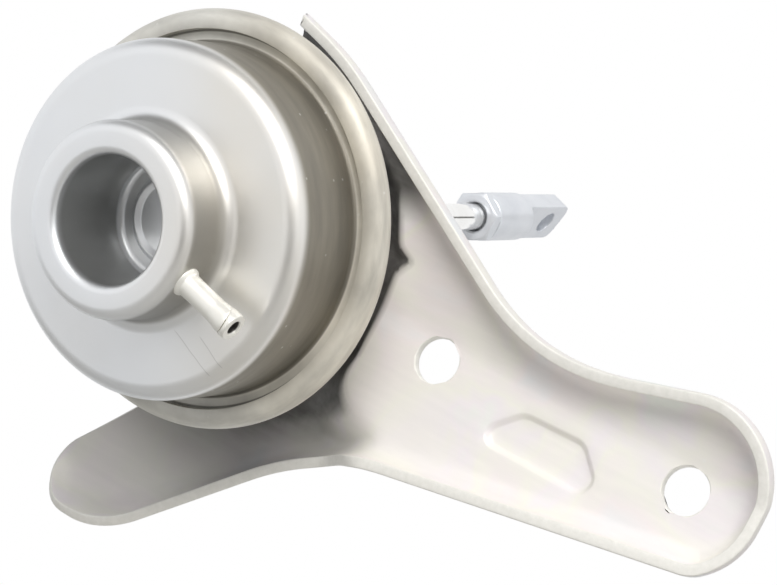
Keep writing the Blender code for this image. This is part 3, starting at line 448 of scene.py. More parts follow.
def build_thread_tree():
    """Tree that presses a right-hand thread into a piece turned round Z."""
    tree, given, result = new_tree("cut_thread", "GeometryNodeTree",
        [("Geometry", "Geometry", None), ("Start", "Float", 0.0), ("End", "Float", 0.01),
        ("Pitch", "Float", 0.001), ("Depth", "Float", 0.0005), ("Least Radius", "Float", 0.002),
        ("Material", "Material", None)], [("Geometry", "Geometry")])
    split = split_of(add(tree, "GeometryNodeInputPosition").outputs[0])
    turn = over(math_node("ARCTAN2", split["Y"], split["X"]), math.tau)
    rise = over(split["Z"], given["Pitch"])
    phase = math_node("FRACT", minus(rise, turn))
    wave = math_node("PINGPONG", times(phase, 2.0), 1.0)
    groove = times(minus(wave, 0.15), 1.35, clamp=True)
    after = over(minus(split["Z"], given["Start"]), given["Pitch"], clamp=True)
    before = over(minus(given["End"], split["Z"]), given["Pitch"], clamp=True)
    flat = joined(tree, X=split["X"], Y=split["Y"])
    on_shank = math_node("GREATER_THAN", length_of(flat), given["Least Radius"])
    depth = times(groove, given["Depth"], after, before, on_shank)
    way = add(tree, "ShaderNodeVectorMath", {0: flat}, operation="NORMALIZE").outputs[0]
    push = add(tree, "ShaderNodeVectorMath", {0: way, "Scale": times(depth, -1.0)},
        operation="SCALE").outputs[0]
    cut = add(tree, "GeometryNodeSetPosition", {"Geometry": given["Geometry"], "Offset": push})
    return close_tree(cut.outputs[0], given, result)


def grow(item, tree, sizes):
    """Adds a tree to an object and sets its named inputs by their identifiers."""
    modifier = item.modifiers.new(tree.name, "NODES")
    modifier.node_group = tree
    for socket in tree.interface.items_tree:
        if socket.in_out == "INPUT" and socket.name in sizes:
            modifier[socket.identifier] = sizes[socket.name]
    return item


thread_tree = build_thread_tree()
print("thread tree", len(thread_tree.nodes), "nodes")

# %% [markdown]
# The sweep itself. A threaded piece gets rows of points along its thread, several for each pitch,
# so that the tree has something to push in.

# %% Turned pieces
THREAD_PITCH, THREAD_DEPTH = 1.0, 0.52


def turned(name, section, steps=192, matrix=ALONG_Y, thread=None, angle=32.0):
    """A turned solid from a closed section of (radius, height) in millimetres."""
    mesh = bpy.data.meshes.new(name)
    points = [(x * MM, 0.0, y * MM) for x, y in section]
    closed = not (points[0][0] < 1e-9 and points[-1][0] < 1e-9)
    count = len(points)
    edges = [(i, (i + 1) % count) for i in range(count if closed else count - 1)]
    mesh.from_pydata(points, edges, [])
    item = link_mesh(name, mesh)
    screw = item.modifiers.new("turn", "SCREW")
    screw.axis, screw.use_merge_vertices, screw.merge_threshold = "Z", True, 1e-6
    screw.steps = screw.render_steps = steps
    if thread:
        start, end, least = thread
        grow(item, thread_tree, {"Start": start * MM, "End": end * MM, "Pitch": THREAD_PITCH * MM,
            "Depth": THREAD_DEPTH * MM, "Least Radius": least * MM})
    made = shade(plain_mesh(item, name, matrix), angle)
    print(name, len(made.data.polygons), "faces")
    return made


def drill(name, radius, start, end, steps, matrix):
    """A plain round cutter between two heights."""
    return turned(name, [(0.0, start), (radius, start), (radius, end), (0.0, end)], steps, matrix)


def aimed(spot, way):
    """A place in metres whose Z looks along a way."""
    return Matrix.Translation(spot) @ Vector(way).to_track_quat("Z", "Y").to_matrix().to_4x4()


def rows(radius, start, end, spacing=THREAD_PITCH / 8.0):
    """Closely spaced points along a straight shank."""
    count = round((end - start) / spacing)
    return [(radius, start + (end - start) * index / count) for index in range(count + 1)]


print("thread pitch", THREAD_PITCH, "mm")


# %% [markdown]
# The front cover is drawn from sheet: a flat flange, a straight wall, a rounded shoulder, a
# hollow boss pushed forward from its face, and a blind recess pushed back into the boss. A coined
# ring stands on the recess floor. One profile holds all of it, in the order a finger would
# travel from the middle of the recess to the rim. The nipple's hole is drilled afterwards.

# %% Front cover
COVER_SHEET = 1.2
RECESS_FLOOR, COVER_FACE, COVER_WALL, CRIMPED_RIM = -12.0, -19.5, 31.4, 35.7
COVER_FLANGE, RECESS_RADIUS, BOSS_RADIUS = -1.6, 11.1, 17.0
cover_corners = [(0.0, RECESS_FLOOR, 0.0), (RECESS_RADIUS, RECESS_FLOOR, 1.3),
    (RECESS_RADIUS, BOSS_FACE, 1.5), (BOSS_RADIUS, BOSS_FACE, 2.2), (BOSS_RADIUS, COVER_FACE, 2.8),
    (COVER_WALL, COVER_FACE, 3.2), (COVER_WALL, COVER_FLANGE, 0.9),
    (CRIMPED_RIM, COVER_FLANGE, 0.0)]
coin = fillet([(0.0, RECESS_FLOOR - 0.3, 0.0), (6.2, RECESS_FLOOR - 0.3, 0.6),
    (7.4, RECESS_FLOOR - 0.95, 0.5), (8.3, RECESS_FLOOR, 0.3), (9.2, RECESS_FLOOR, 0.0)])
front_side = coin + fillet(cover_corners)[1:]
cover_section = front_side + fillet(offset_path(cover_corners, COVER_SHEET))[::-1]
cover = turned("drawn_cover", cover_section, steps=256)

NIPPLE_TURN, NIPPLE_Y, NIPPLE_RADIUS, NIPPLE_END = math.radians(-37.6), -26.0, 1.95, 29.2
NIPPLE_HOLE = 2.25
NIPPLE_PLACE = aimed(from_axis(0.0, NIPPLE_Y, 0.0),
    (math.cos(NIPPLE_TURN), 0.0, math.sin(NIPPLE_TURN)))
cover = shade(cut_with(cover, [drill("nipple_drill", NIPPLE_HOLE, 14.0, 20.0, 48, NIPPLE_PLACE)]))
print("cover", len(cover.data.polygons), "faces")

# %% [markdown]
# The rear shell is a second drawn cup. Its flange is rolled forward over the cover's flange and
# pressed down, which makes the round crimped bead that holds the canister together. Two stud
# holes and a vent are cut in it. The rolled lip ends in a sheared edge with its corners broken.

# %% Rear shell with its crimped bead
SHELL_SHEET, SHELL_WALL, SHELL_BACK = 1.2, 26.0, 20.7
BEAD, LIP, BEAD_FRONT, BEAD_BACK = 37.5, 33.8, -3.1, 2.2
STUD_RADIUS, STUD_CIRCLE, STUD_HOLE = 2.9, 17.004, 3.25
BRACKET_TURN = math.radians(22.9)
shell_corners = [(4.7, SHELL_BACK, 0.0), (SHELL_WALL, SHELL_BACK, 4.0),
    (SHELL_WALL, BEAD_BACK, 2.4), (BEAD, BEAD_BACK, 2.5), (BEAD, BEAD_FRONT, 2.5),
    (LIP, BEAD_FRONT, 0.0)]
shell_body = turned("rolled_rear_shell", sheet_section(shell_corners, -SHELL_SHEET), steps=256)
VENT_Y, VENT_HOLE = 11.0, 1.6
shell_cutters = [drill("vent_drill", VENT_HOLE, 23.0, 28.0, 40,
    aimed(from_axis(0.0, VENT_Y, 0.0), (0.0, 0.0, -1.0)))]
stud_spots = [Matrix.Rotation(BRACKET_TURN, 3, "Y") @ Vector((side * STUD_CIRCLE, 0.0, 0.0))
    for side in (-1.0, 1.0)]
for number, spot in enumerate(stud_spots, 1):
    shell_cutters.append(drill(f"stud_drill_{number}", STUD_HOLE, 18.0, 22.0, 40,
        Matrix.Translation(spot * MM) @ ALONG_Y))
shell_body = shade(soften(cut_with(shell_body, shell_cutters), 0.14, 65.0))
print("shell", len(shell_body.data.polygons), "faces")

# %% [markdown]
# The bracket is one stamping. It is described over its flat blank: an outline with a radius at
# each corner, a crest where the raised arm drops to the seat, and a pressed dimple. One height
# rule gives every point of the sheet, and its edge is rolled up all round except behind the
# canister. The same numbers shape the coarse solid; only the points are closer together here.

# %% Bracket: the numbers of the stamping
SEAT_Y, SHEET, SEAT_RAISE = 21.0, 2.0, 2.2
ARM_TILT = math.radians(16.0)
BEND_B, BEND_RADIUS = -4.0, 8.0
WING_CURL_B, WING_CURL_RADIUS = -27.0, 70.0
FLANGE_DEVELOPED, FLANGE_STRAIGHT = 7.0, 1.2
HOLE_A, HOLE_B, HOLE_RADIUS, HOLE_SPACING = 43.4, -9.0, 4.25, 52.3
DIMPLE_DEPTH, DIMPLE_SIDE = 1.0, 1.3
RAMP, RAMP_MORE, RAMP_FROM_B, RAMP_RUN = 4.0, 10.0, -15.0, 13.0
EDGE_BREAK = 0.28
OUTLINE = ((-19.02, 40.78, 6.0, 90.0), (6.18, 32.72, 50.0, 90.0), (59.1, 0.6, 38.0, 90.0),
           (75.7, 1.7, 51.0, 90.0), (109.2, 10.3, 12.5, 90.0), (109.2, -15.6, 12.0, 90.0),
           (103.7, -19.6, 5.0, 90.0), (28.5, -32.3, 56.0, 80.0), (-6.5, -66.7, 18.4, 50.0),
           (-30.0, -66.9, 7.1, 25.0), (-9.9, -39.5, 6.0, 0.0), (-28.5, -26.0, 16.0, 0.0),
           (-28.5, 33.0, 8.0, 0.0))
CREST = ((-34.05, 41.01, 0.0), (6.08, 28.36, 46.0), (24.36, 16.99, 5.0), (28.45, 6.99, 2.0),
         (32.11, 5.03, 0.8), (29.67, 1.3, 1.5), (29.11, -20.84, 5.0), (40.89, -24.76, 4.0),
         (43.34, -46.0, 0.0))
DIMPLE = ((57.0, -17.0, 1.4), (63.4, -10.9, 3.2), (75.2, -10.6, 2.8), (82.0, -17.3, 1.8))
TRIM_A, TRIM_B, TRIM_SLOPE = -4.4, 29.5, math.radians(20.0)
RIM_Y = SEAT_Y - SEAT_RAISE - (FLANGE_DEVELOPED - FLANGE_STRAIGHT) * 2.0 / math.pi - FLANGE_STRAIGHT
print("outline corners", len(OUTLINE), "rim at", round(RIM_Y, 2))


# %% [markdown]
# These small tools work on whole arrays of points at once: which lie inside a loop, how far they
# are from a path, and how to space points evenly along one.

# %% Bracket: tools for flat shapes
def as_array(points):
    """The first two numbers of each point, as rows."""
    return np.array([(p[0], p[1]) for p in points], float)


def inside(points, loop):
    """Which points lie inside a closed loop."""
    hit = np.zeros(len(points), bool)
    for one, two in zip(loop, np.roll(loop, -1, axis=0)):
        spans = (one[1] > points[:, 1]) != (two[1] > points[:, 1])
        if one[1] != two[1]:
            cross = one[0] + (points[:, 1] - one[1]) / (two[1] - one[1]) * (two[0] - one[0])
            hit ^= spans & (points[:, 0] < cross)
    return hit


def distance_to(points, path, closed=False):
    """Shortest distance from each point to a path."""
    ends = np.roll(path, -1, axis=0) if closed else path[1:]
    starts = path if closed else path[:-1]
    best = np.full(len(points), np.inf)
    for one, two in zip(starts, ends):
        run = two - one
        share = np.clip(((points - one) @ run) / (run @ run), 0.0, 1.0)
        best = np.minimum(best, np.hypot(*(points - one - share[:, None] * run).T))
    return best


def even_points(path, spacing, closed=True):
    """Points along a path at equal spacing."""
    loop = np.vstack([path, path[:1]]) if closed else path
    lengths = np.hypot(*np.diff(loop, axis=0).T)
    reached = np.concatenate([[0.0], np.cumsum(lengths)])
    number = max(3, round(reached[-1] / spacing))
    wanted = np.arange(number if closed else number + 1) * reached[-1] / number
    return np.stack([np.interp(wanted, reached, loop[:, 0]),
        np.interp(wanted, reached, loop[:, 1])], 1)


def ring_points(spot, radius, parts):
    """Points round a circle on the blank."""
    angles = np.arange(parts) * math.tau / parts
    return np.stack([spot[0] + radius * np.cos(angles), spot[1] + radius * np.sin(angles)], 1)


def ease(share):
    """0 to 1 with a soft start and end."""
    share = np.clip(share, 0.0, 1.0)
    return share * share * (3.0 - 2.0 * share)


def unit(vectors):
    """Each row at length 1."""
    return vectors / np.linalg.norm(vectors, axis=1)[:, None]


def outward_of(loop):
    """The outward way at each point of a loop that runs clockwise."""
    across = np.roll(loop, -1, axis=0) - np.roll(loop, 1, axis=0)
    return np.stack([-across[:, 1], across[:, 0]], 1) / np.hypot(*across.T)[:, None]


def band(one, two):
    """The four-sided faces between two closed rows of points."""
    count = len(one)
    return [(one[i], one[(i + 1) % count], two[(i + 1) % count], two[i]) for i in range(count)]


print("ease half way", float(ease(0.5)))


# %% [markdown]
# The height rule itself. The arm is raised and tilted, the seat lies lower, and the wing below it
# curls forward. A share that runs from 0 on the arm to 1 on the seat mixes the two.

# %% Bracket: the height rule
crest = as_array(fillet(CREST, arc_step=8.0))
FAR = 200.0
raised_side = np.vstack([crest, crest[-1] + (FAR, 0.0), crest[0] + (FAR, 0.0)])
dimple_floor = as_array(fillet(DIMPLE, closed=True))


def ramp_width(b):
    """The ramp beside the crest is 4 mm wide, and runs out to 14 mm at the lower edge."""
    return RAMP + RAMP_MORE * np.clip((RAMP_FROM_B - b) / RAMP_RUN, 0.0, 1.0)


def lowered(points):
    """0 on arm and strip, 1 on the seat, eased down the ramp beside the crest."""
    share = ease(distance_to(points, crest) / ramp_width(points[:, 1]))
    return np.where(inside(points, raised_side), 0.0, share)


def sheet_front(points):
    """Places of the sheet's front face for points (a, b) of its blank, in its own axes."""
    a, b = points[:, 0], points[:, 1]
    past = np.maximum(0.0, BEND_B - b)
    arc = BEND_RADIUS * ARM_TILT
    turn = np.minimum(past, arc) / BEND_RADIUS
    rest = np.maximum(0.0, past - arc)
    run = BEND_RADIUS * np.sin(turn) + rest * np.cos(turn)
    drop = BEND_RADIUS * (1.0 - np.cos(turn)) + rest * np.sin(turn)
    arm = np.stack([a, SEAT_Y - SEAT_RAISE - drop, np.where(past > 0.0, BEND_B - run, b)], 1)
    curl = np.maximum(0.0, WING_CURL_B - b)
    seat = np.stack([a, SEAT_Y - curl ** 2 / (2.0 * WING_CURL_RADIUS), b], 1)
    share = lowered(points)[:, None]
    return arm * (1.0 - share) + seat * share


def sheet_facing(points):
    """The way the front face looks, without ramp and dimple: square to arm or seat."""
    past = np.maximum(0.0, WING_CURL_B - points[:, 1])
    seat = unit(np.stack([0 * past, -1 + 0 * past, past / WING_CURL_RADIUS], 1))
    turn = np.clip((BEND_B - points[:, 1]) / BEND_RADIUS, 0.0, ARM_TILT)
    arm = np.stack([0 * turn, -np.cos(turn), np.sin(turn)], 1)
    share = lowered(points)[:, None]
    return unit(arm * (1.0 - share) + seat * share)


def dented(points):
    """Depth pressed into the sheet by the dimple."""
    away = distance_to(points, dimple_floor, closed=True)
    return DIMPLE_DEPTH * np.where(inside(points, dimple_floor), 1.0,
        1.0 - ease(away / DIMPLE_SIDE))


print("crest points", len(crest))


# %% [markdown]
# The rolled edge follows the outline in rings. Each ring lies a little further round the bend,
# and both faces of the sheet are placed at once, so that the wall keeps its thickness exactly. At
# the sheared edge the rings turn round the corners, which leaves the fine bright line of a
# deburred stamping.

# %% Bracket: the rolled edge
def edge_turns(points):
    """How far the edge is rolled at each outline point, eased between the corners."""
    corners = np.array([c[:2] for c in OUTLINE])
    angles = np.radians([c[3] for c in OUTLINE])
    best = np.full(len(points), np.inf)
    result = np.zeros(len(points))
    for index in range(len(corners)):
        after = (index + 1) % len(corners)
        run = corners[after] - corners[index]
        share = np.clip(((points - corners[index]) @ run) / (run @ run), 0.0, 1.0)
        away = np.hypot(*(points - corners[index] - share[:, None] * run).T)
        turn = angles[index] + (angles[after] - angles[index]) * ease(share)
        result = np.where(away < best, turn, result)
        best = np.minimum(best, away)
    kernel = np.ones(9) / 9.0
    padded = np.concatenate([result[-4:], result, result[:4]])
    return np.maximum(np.convolve(padded, kernel, "valid"), 0.001)


def edge_profile(turn, developed):
    """Outward reach, upward reach and slope of a point of the rolled edge."""
    arc_length = FLANGE_DEVELOPED - FLANGE_STRAIGHT
    radius = arc_length / turn
    angle = min(developed, arc_length) / radius
    rest = max(0.0, developed - arc_length)
    out = radius * np.sin(angle) + rest * np.cos(angle)
    return out, radius * (1.0 - np.cos(angle)) + rest * np.sin(angle), angle


OUTLINE_STEP, RINGS, EDGE_RINGS, GRID, LITTLE = 1.0, 14, 3, 1.5, 0.05
outline = even_points(as_array(fillet(OUTLINE, closed=True, arc_step=2.0)), OUTLINE_STEP)
outward = outward_of(outline)
rolls = edge_turns(outline)
inner = outline - outward * edge_profile(rolls, FLANGE_DEVELOPED)[0][:, None]
inner_facing = sheet_facing(inner)
rim_count = len(outline)


def edge_ring(developed, depth):
    """One ring of points of the rolled edge, at a depth below its front face."""
    out, lift, angle = edge_profile(rolls, developed)
    moved = inner + outward * out[:, None]
    place = sheet_front(moved) + inner_facing * lift[:, None]
    reach = sheet_front(moved + LITTLE * outward) - sheet_front(moved - LITTLE * outward)
    reach = unit(reach - inner_facing * (reach * inner_facing).sum(axis=1)[:, None])
    way = inner_facing * np.cos(angle)[:, None] - reach * np.sin(angle)[:, None]
    return place - way * depth


rolled_at = [(FLANGE_DEVELOPED - EDGE_BREAK) * level / RINGS for level in range(RINGS + 1)]
quarter = [math.pi / 2.0 * level / EDGE_RINGS for level in range(EDGE_RINGS + 1)]
broken = [(EDGE_BREAK * (1.0 - math.sin(t)), EDGE_BREAK * (1.0 - math.cos(t))) for t in quarter]
rim_rings = [edge_ring(developed, 0.0) for developed in rolled_at]
rim_rings += [edge_ring(FLANGE_DEVELOPED - back, depth) for back, depth in broken[1:]]
rim_rings += [edge_ring(FLANGE_DEVELOPED - back, SHEET - depth) for back, depth in broken[::-1]]
rim_rings += [edge_ring(developed, SHEET) for developed in rolled_at[-2::-1]]
print("rings", len(rim_rings), "of", rim_count)

# %% [markdown]
# The middle of the sheet is filled with triangles that keep every edge of the holes, the crest and
# the dimple. Points are offered in order of importance, and one that comes too near an earlier
# one is left out. A Delaunay triangulation with fixed edges joins them.

# %% Bracket: points of the middle
BUSH_HOLE = 4.7
holes = [((0.0, 0.0), BUSH_HOLE, 48), ((STUD_CIRCLE, 0.0), STUD_HOLE, 40),
    ((-STUD_CIRCLE, 0.0), STUD_HOLE, 40), ((HOLE_A, HOLE_B), HOLE_RADIUS, 72),
    ((HOLE_A + HOLE_SPACING, HOLE_B), HOLE_RADIUS, 72)]
CLOSE, NEXT, WIDE = 0.2, 0.55, 0.9
offers = [(ring_points(spot, radius + EDGE_BREAK + grow_by, parts), CLOSE)
    for spot, radius, parts in holes for grow_by in (0.3, 0.7, 1.2)]
lip = even_points(dimple_floor, 0.55)
offers += [(lip + outward_of(lip) * grow_by, CLOSE)
    for grow_by in (0.0, 0.22, 0.44, 0.66, 0.88, 1.1, 1.35)]
crest_line = even_points(crest, 0.8, closed=False)
crest_side = np.gradient(crest_line, axis=0)
crest_side = np.stack([crest_side[:, 1], -crest_side[:, 0]], 1) / np.hypot(*crest_side.T)[:, None]
offers += [(crest_line + crest_side * (ramp_width(crest_line[:, 1]) * share)[:, None], NEXT)
    for share in np.linspace(-0.1, 1.1, 10)]
for row in range(-56, 40):
    line = (np.arange(-24, 76) + 0.5 * (row % 2)) * GRID
    offers.append((np.stack([line, np.full(len(line), row * GRID * math.sqrt(0.75))], 1), WIDE))

kept = np.vstack([inner] + [ring_points(spot, radius + EDGE_BREAK, parts)
    for spot, radius, parts in holes])
for batch, room_needed in offers:
    batch = batch[inside(batch, inner)]
    for spot, radius, _ in holes:
        away = np.hypot(batch[:, 0] - spot[0], batch[:, 1] - spot[1])
        batch = batch[away > radius + EDGE_BREAK + 0.1]
    for point in batch:
        if np.min(np.hypot(*(kept - point).T)) > room_needed:
            kept = np.vstack([kept, point])
print("points on the blank", len(kept))


# %% [markdown]
# Now the mesh: the front triangles, the same triangles behind, the rings of the edge, and the
# walls of the holes with their corners turned as at the edge. Sheared and drilled faces get a
# second material, because a cut edge is brighter and coarser than the rolled face.

# %% Bracket: the mesh
WALL_FADE, READ_BELOW = 3.0, 2.0


def hole_facing(points):
    """Straight walls near each hole, and the sheet's own facing further out."""
    way = sheet_facing(points)
    for spot, radius, _ in holes:
        away = np.hypot(points[:, 0] - spot[0], points[:, 1] - spot[1]) - radius
        share = ease((away - EDGE_BREAK) / WALL_FADE)[:, None]
        below = READ_BELOW if spot[1] < 0.0 else 0.0
        straight = sheet_facing(np.array([(spot[0], spot[1] - below)]))
        way = way * share + straight * (1.0 - share)
    return unit(way)


fixed_edges, first = [], rim_count
for _, _, parts in holes:
    fixed_edges += [(first + i, first + (i + 1) % parts) for i in range(parts)]
    first += parts
flat = delaunay_2d_cdt([Vector(p) for p in kept], fixed_edges, [list(range(rim_count))], 1, 1e-7)
spots = np.array([tuple(spot) for spot in flat[0]])
way = hole_facing(spots)
front = sheet_front(spots) - way * dented(spots)[:, None]
ring_total = len(rim_rings)
blank_start = ring_total * rim_count
points = np.vstack(rim_rings + [front, front - way * SHEET])
source_of = [min(origins) if origins else -1 for origins in flat[3]]


def front_index(index):
    """The point of the sheet's front that stands for a point of the flat mesh."""
    return source_of[index] if 0 <= source_of[index] < rim_count else blank_start + index


def back_index(index):
    """The same on the sheet's back."""
    if 0 <= source_of[index] < rim_count:
        return (ring_total - 1) * rim_count + source_of[index]
    return blank_start + len(spots) + index


faces, face_kinds = [], []
for corners in flat[2]:
    centre = spots[list(corners)].mean(axis=0)
    if all(math.hypot(centre[0] - s[0], centre[1] - s[1]) > radius for s, radius, _ in holes):
        faces.append(tuple(front_index(corner) for corner in corners))
        faces.append(tuple(back_index(corner) for corner in corners[::-1]))
        face_kinds += [0, 0]
edge_levels = range(RINGS, RINGS + 2 * EDGE_RINGS + 1)
for level in range(ring_total - 1):
    one, two = [range(ring * rim_count, (ring + 1) * rim_count) for ring in (level, level + 1)]
    faces += band(one, two)
    face_kinds += [1 if level in edge_levels else 0] * rim_count
index_from = {source: index for index, source in enumerate(source_of)}
first = rim_count
for spot, radius, parts in holes:
    rim = [index_from[first + i] for i in range(parts)]
    levels = [(radius + back, depth) for back, depth in broken[1:]]
    levels += [(reach, SHEET - depth) for reach, depth in levels[::-1]]
    loops = [[front_index(i) for i in rim]]
    for reach, depth in levels:
        loop = ring_points(spot, reach, parts)
        start = len(points)
        points = np.vstack([points, sheet_front(loop) - hole_facing(loop) * depth])
        loops.append(list(range(start, start + parts)))
    loops.append([back_index(i) for i in rim])
    for one, two in zip(loops, loops[1:]):
        faces += band(one, two)
        face_kinds += [1] * parts
    first += parts
mesh = bpy.data.meshes.new("bracket_sheet")
mesh.from_pydata([Vector(p) * MM for p in points], [], faces)
for slot_name in ("sheet_face", "sheared_edge"):
    mesh.materials.append(bpy.data.materials.new(slot_name))
mesh.polygons.foreach_set("material_index", face_kinds)
shape = bmesh.new()
shape.from_mesh(mesh)
bmesh.ops.delete(shape, geom=[v for v in shape.verts if not v.link_faces], context="VERTS")
print("open edges", sum(len(e.link_faces) != 2 for e in shape.edges))
shape.to_mesh(mesh)
shape.free()
sheet = link_mesh("bracket_sheet", mesh)

# %% [markdown]
# The top of the arm's flange is cut off at a slant beside the canister. A block cuts it, as the
# press tool does, and the fresh corners are broken like the others.

# %% Bracket: the slanting cut
BLOCK = 60.0
shape = bmesh.new()
bmesh.ops.create_cube(shape, size=BLOCK * MM)
place = (Matrix.Translation(Vector((TRIM_A, RIM_Y, TRIM_B + BLOCK / 2.0)) * MM)
    @ Matrix.Rotation(TRIM_SLOPE, 4, "Z") @ Matrix.Translation((-BLOCK * MM / 2.0, 0.0, 0.0)))
bmesh.ops.transform(shape, matrix=place, verts=shape.verts)
block = from_shape("trim_block", shape)
for slot_name in ("sheet_face", "sheared_edge"):
    block.data.materials.append(bpy.data.materials[slot_name])
block.data.polygons.foreach_set("material_index", [1] * len(block.data.polygons))
TO_ROW = Matrix.Translation(AXIS) @ Matrix.Rotation(BRACKET_TURN, 4, "Y")
bracket = soften(cut_with(sheet, [block]), 0.2, 62.0)
bracket.name = "stamped_bracket"
bracket.data.transform(TO_ROW)
shade(bracket, 40.0)
print("bracket", len(bracket.data.polygons), "faces")

# %% [markdown]
# The nipple is a drawn tube set into the boss. It has a low lip where it meets the boss, and its
# end is flared so that a hose stays on. A fine slanting seam crosses the flare, as if a sleeve had
# been pushed over it. A thin tilted ring cuts it here.

# %% Hose nipple
NIPPLE_BORE, TUBE, FLARE = 1.15, 2.14, 2.5
nipple_section = fillet([(NIPPLE_BORE, 14.8, 0.0), (NIPPLE_RADIUS, 14.8, 0.2),
    (NIPPLE_RADIUS, 16.6, 0.0), (2.75, 16.6, 0.0), (2.7, 17.1, 0.3), (2.2, 17.7, 0.5),
    (TUBE, 19.4, 1.2), (TUBE, 24.6, 5.0), (FLARE, 27.4, 4.0), (FLARE, NIPPLE_END, 0.28),
    (NIPPLE_BORE + 0.3, NIPPLE_END, 0.12), (NIPPLE_BORE, NIPPLE_END - 0.5, 0.0)])
nipple = turned("flared_nipple", nipple_section, 96, NIPPLE_PLACE)
SEAM_TILT = Matrix.Translation((0.0, 0.0, 26.6 * MM)) @ Matrix.Rotation(math.radians(34.0), 4, "Y")
seam = turned("seam_ring", [(2.32, 0.0), (4.0, 0.0), (4.0, 0.16), (2.32, 0.16)], 96,
    NIPPLE_PLACE @ SEAM_TILT)
nipple = shade(soften(cut_with(nipple, [seam]), 0.04, 60.0))
print("nipple", len(nipple.data.polygons), "faces")

# %% [markdown]
# The rod is ground steel. Its front end is riveted over the diaphragm's plate, and its rear end is
# threaded for the jam nut and the rod end. The diaphragm, its piston and the plates are inside the
# canister. They don't show, but they are made too, because the part is also taken apart.

# %% Rod and what it carries
ROD, SPIGOT, RIVET_Y, ROD_SHOULDER = 2.8, 1.9, -10.5, -3.9
JAM_Y, JAM_THICKNESS, EYE_Y, ROD_END_Y = 95.7, 2.8, 98.8, 108.0
rod_section = fillet([(0.0, RIVET_Y, 0.0), (2.6, RIVET_Y, 0.9), (3.8, RIVET_Y + 0.7, 0.6),
    (3.8, RIVET_Y + 1.3, 0.0), (SPIGOT, RIVET_Y + 1.3, 0.0), (SPIGOT, ROD_SHOULDER, 0.2),
    (ROD, ROD_SHOULDER, 0.25), (ROD, 95.0, 0.0)])
rod_section += rows(ROD, 95.2, ROD_END_Y - 0.7)
rod_section += fillet([(ROD, ROD_END_Y - 0.6, 0.0), (ROD - 0.6, ROD_END_Y, 0.1),
    (0.0, ROD_END_Y, 0.0)])
rod = turned("ground_rod", rod_section, 96, thread=(96.0, ROD_END_Y + 1.0, ROD * 0.97), angle=28.0)
rod_pieces = [("formed_piston_cup", "piston_cup", "zinc_plate",
    sheet_section([(2.2, -6.5, 0.0), (19.604, -6.5, 2.0), (19.604, 2.5, 0.0)], 1.2)),
    ("crown_plate", "diaphragm_plate", "zinc_plate",
    fillet([(2.2, -8.9, 0.1), (15.99, -8.9, 0.25), (15.99, -7.9, 0.25), (2.2, -7.9, 0.1)], True)),
    ("thrust_washer", "piston_washer", "zinc_plate",
    fillet([(2.2, -5.0, 0.1), (6.5, -5.0, 0.2), (6.5, -4.2, 0.2), (2.2, -4.2, 0.1)], True))]
inner_pieces = [("rolling_diaphragm", "diaphragm", "diaphragm_rubber",
    sheet_section([(CRIMPED_RIM, -0.1, 0.0), (23.7, -0.1, 4.7), (23.7, 6.0, 1.48),
    (20.704, 6.0, 1.48), (20.704, -7.6, 3.1), (2.2, -7.6, 0.0)], -0.8)),
    ("pressed_spring_seat", "spring_seat", "matt_zinc",
    sheet_section([(11.388, 19.2, 0.0), (6.696, 19.2, 0.8), (6.696, 17.0, 0.0)], 0.8)),
    ("flanged_bush", "guide_bush", "sintered_bronze",
    fillet([(3.1, 17.6, 0.3), (6.396, 17.6, 0.2), (6.396, 19.2, 0.2), (4.4, 19.2, 0.1),
    (4.4, 26.4, 0.5), (3.1, 26.4, 0.3)], True))]
turned_pieces = [(turned(name, section, 128, angle=30.0), body, [node], kind)
    for body, group in (("rod_set", rod_pieces), ("housing", inner_pieces))
    for name, node, kind, section in group]
print("turned pieces", len(turned_pieces))


# %% [markdown]
# A hexagon nut starts as a six-sided bar and is turned at both ends, so that its chamfers meet the
# flats in curved edges. The same happens here: a prism keeps only what lies inside a turned blank.

# %% Hexagon nuts
def hex_nut(name, flats, thickness, hole, start, spin=0.0):
    """A hexagon nut round Z, made from a prism and a turned blank."""
    reach = flats / math.sqrt(3.0)
    prism = bmesh.new()
    bmesh.ops.create_cone(prism, cap_ends=True, segments=6, radius1=reach * MM, radius2=reach * MM,
        depth=thickness * MM, matrix=Matrix.Translation((0, 0, (start + thickness / 2) * MM))
        @ Matrix.Rotation(spin, 4, "Z"))
    bar = from_shape(name, prism)
    land, countersink = flats * 0.475, 0.45
    slope = math.tan(math.radians(30.0))
    rim = (reach - land + 0.2) * slope
    end = start + thickness
    blank = turned(name + "_blank",
        [(hole, start + countersink), (hole + countersink, start), (land, start),
        (reach + 0.2, start + rim), (reach + 0.2, end - rim), (land, end),
        (hole + countersink, end), (hole, end - countersink)], 144, LOCAL)
    return soften(cut_with(bar, [blank], "INTERSECT"), 0.09, 25.0)


FLATS, JAM_BORE = 10.0, 3.1
jam_nut = hex_nut("hex_jam_nut", FLATS, JAM_THICKNESS, JAM_BORE, JAM_Y, math.radians(30.0))
jam_nut.data.transform(ALONG_Y)
shade(jam_nut, 24.0)
print("jam nut", len(jam_nut.data.polygons), "faces")

# %% [markdown]
# The rod end is forged: a round barrel that is hammered flat into a paddle and drilled. Its edges
# are soft all over. The three solids are joined, then wrapped in a fine even skin that is smoothed
# a few times, which rounds every edge a little and fills the corners, as forging and plating do.

# %% Rod end
BARREL, BARREL_END, PADDLE_TIP, EYE_CENTRE = 5.15, 113.5, 132.1, 125.6
EYE_TURN = math.radians(41.6)
barrel = turned("forged_rod_end",
    fillet([(0.0, EYE_Y, 0.0), (BARREL, EYE_Y, 0.5), (BARREL, BARREL_END, 0.9),
    (BARREL * 0.72, BARREL_END + 1.2, 0.0), (0.0, BARREL_END + 1.2, 0.0)]), 96, LOCAL)
FACE_PADDLE = Matrix.Rotation(EYE_TURN - math.pi / 2.0, 3, "Z")


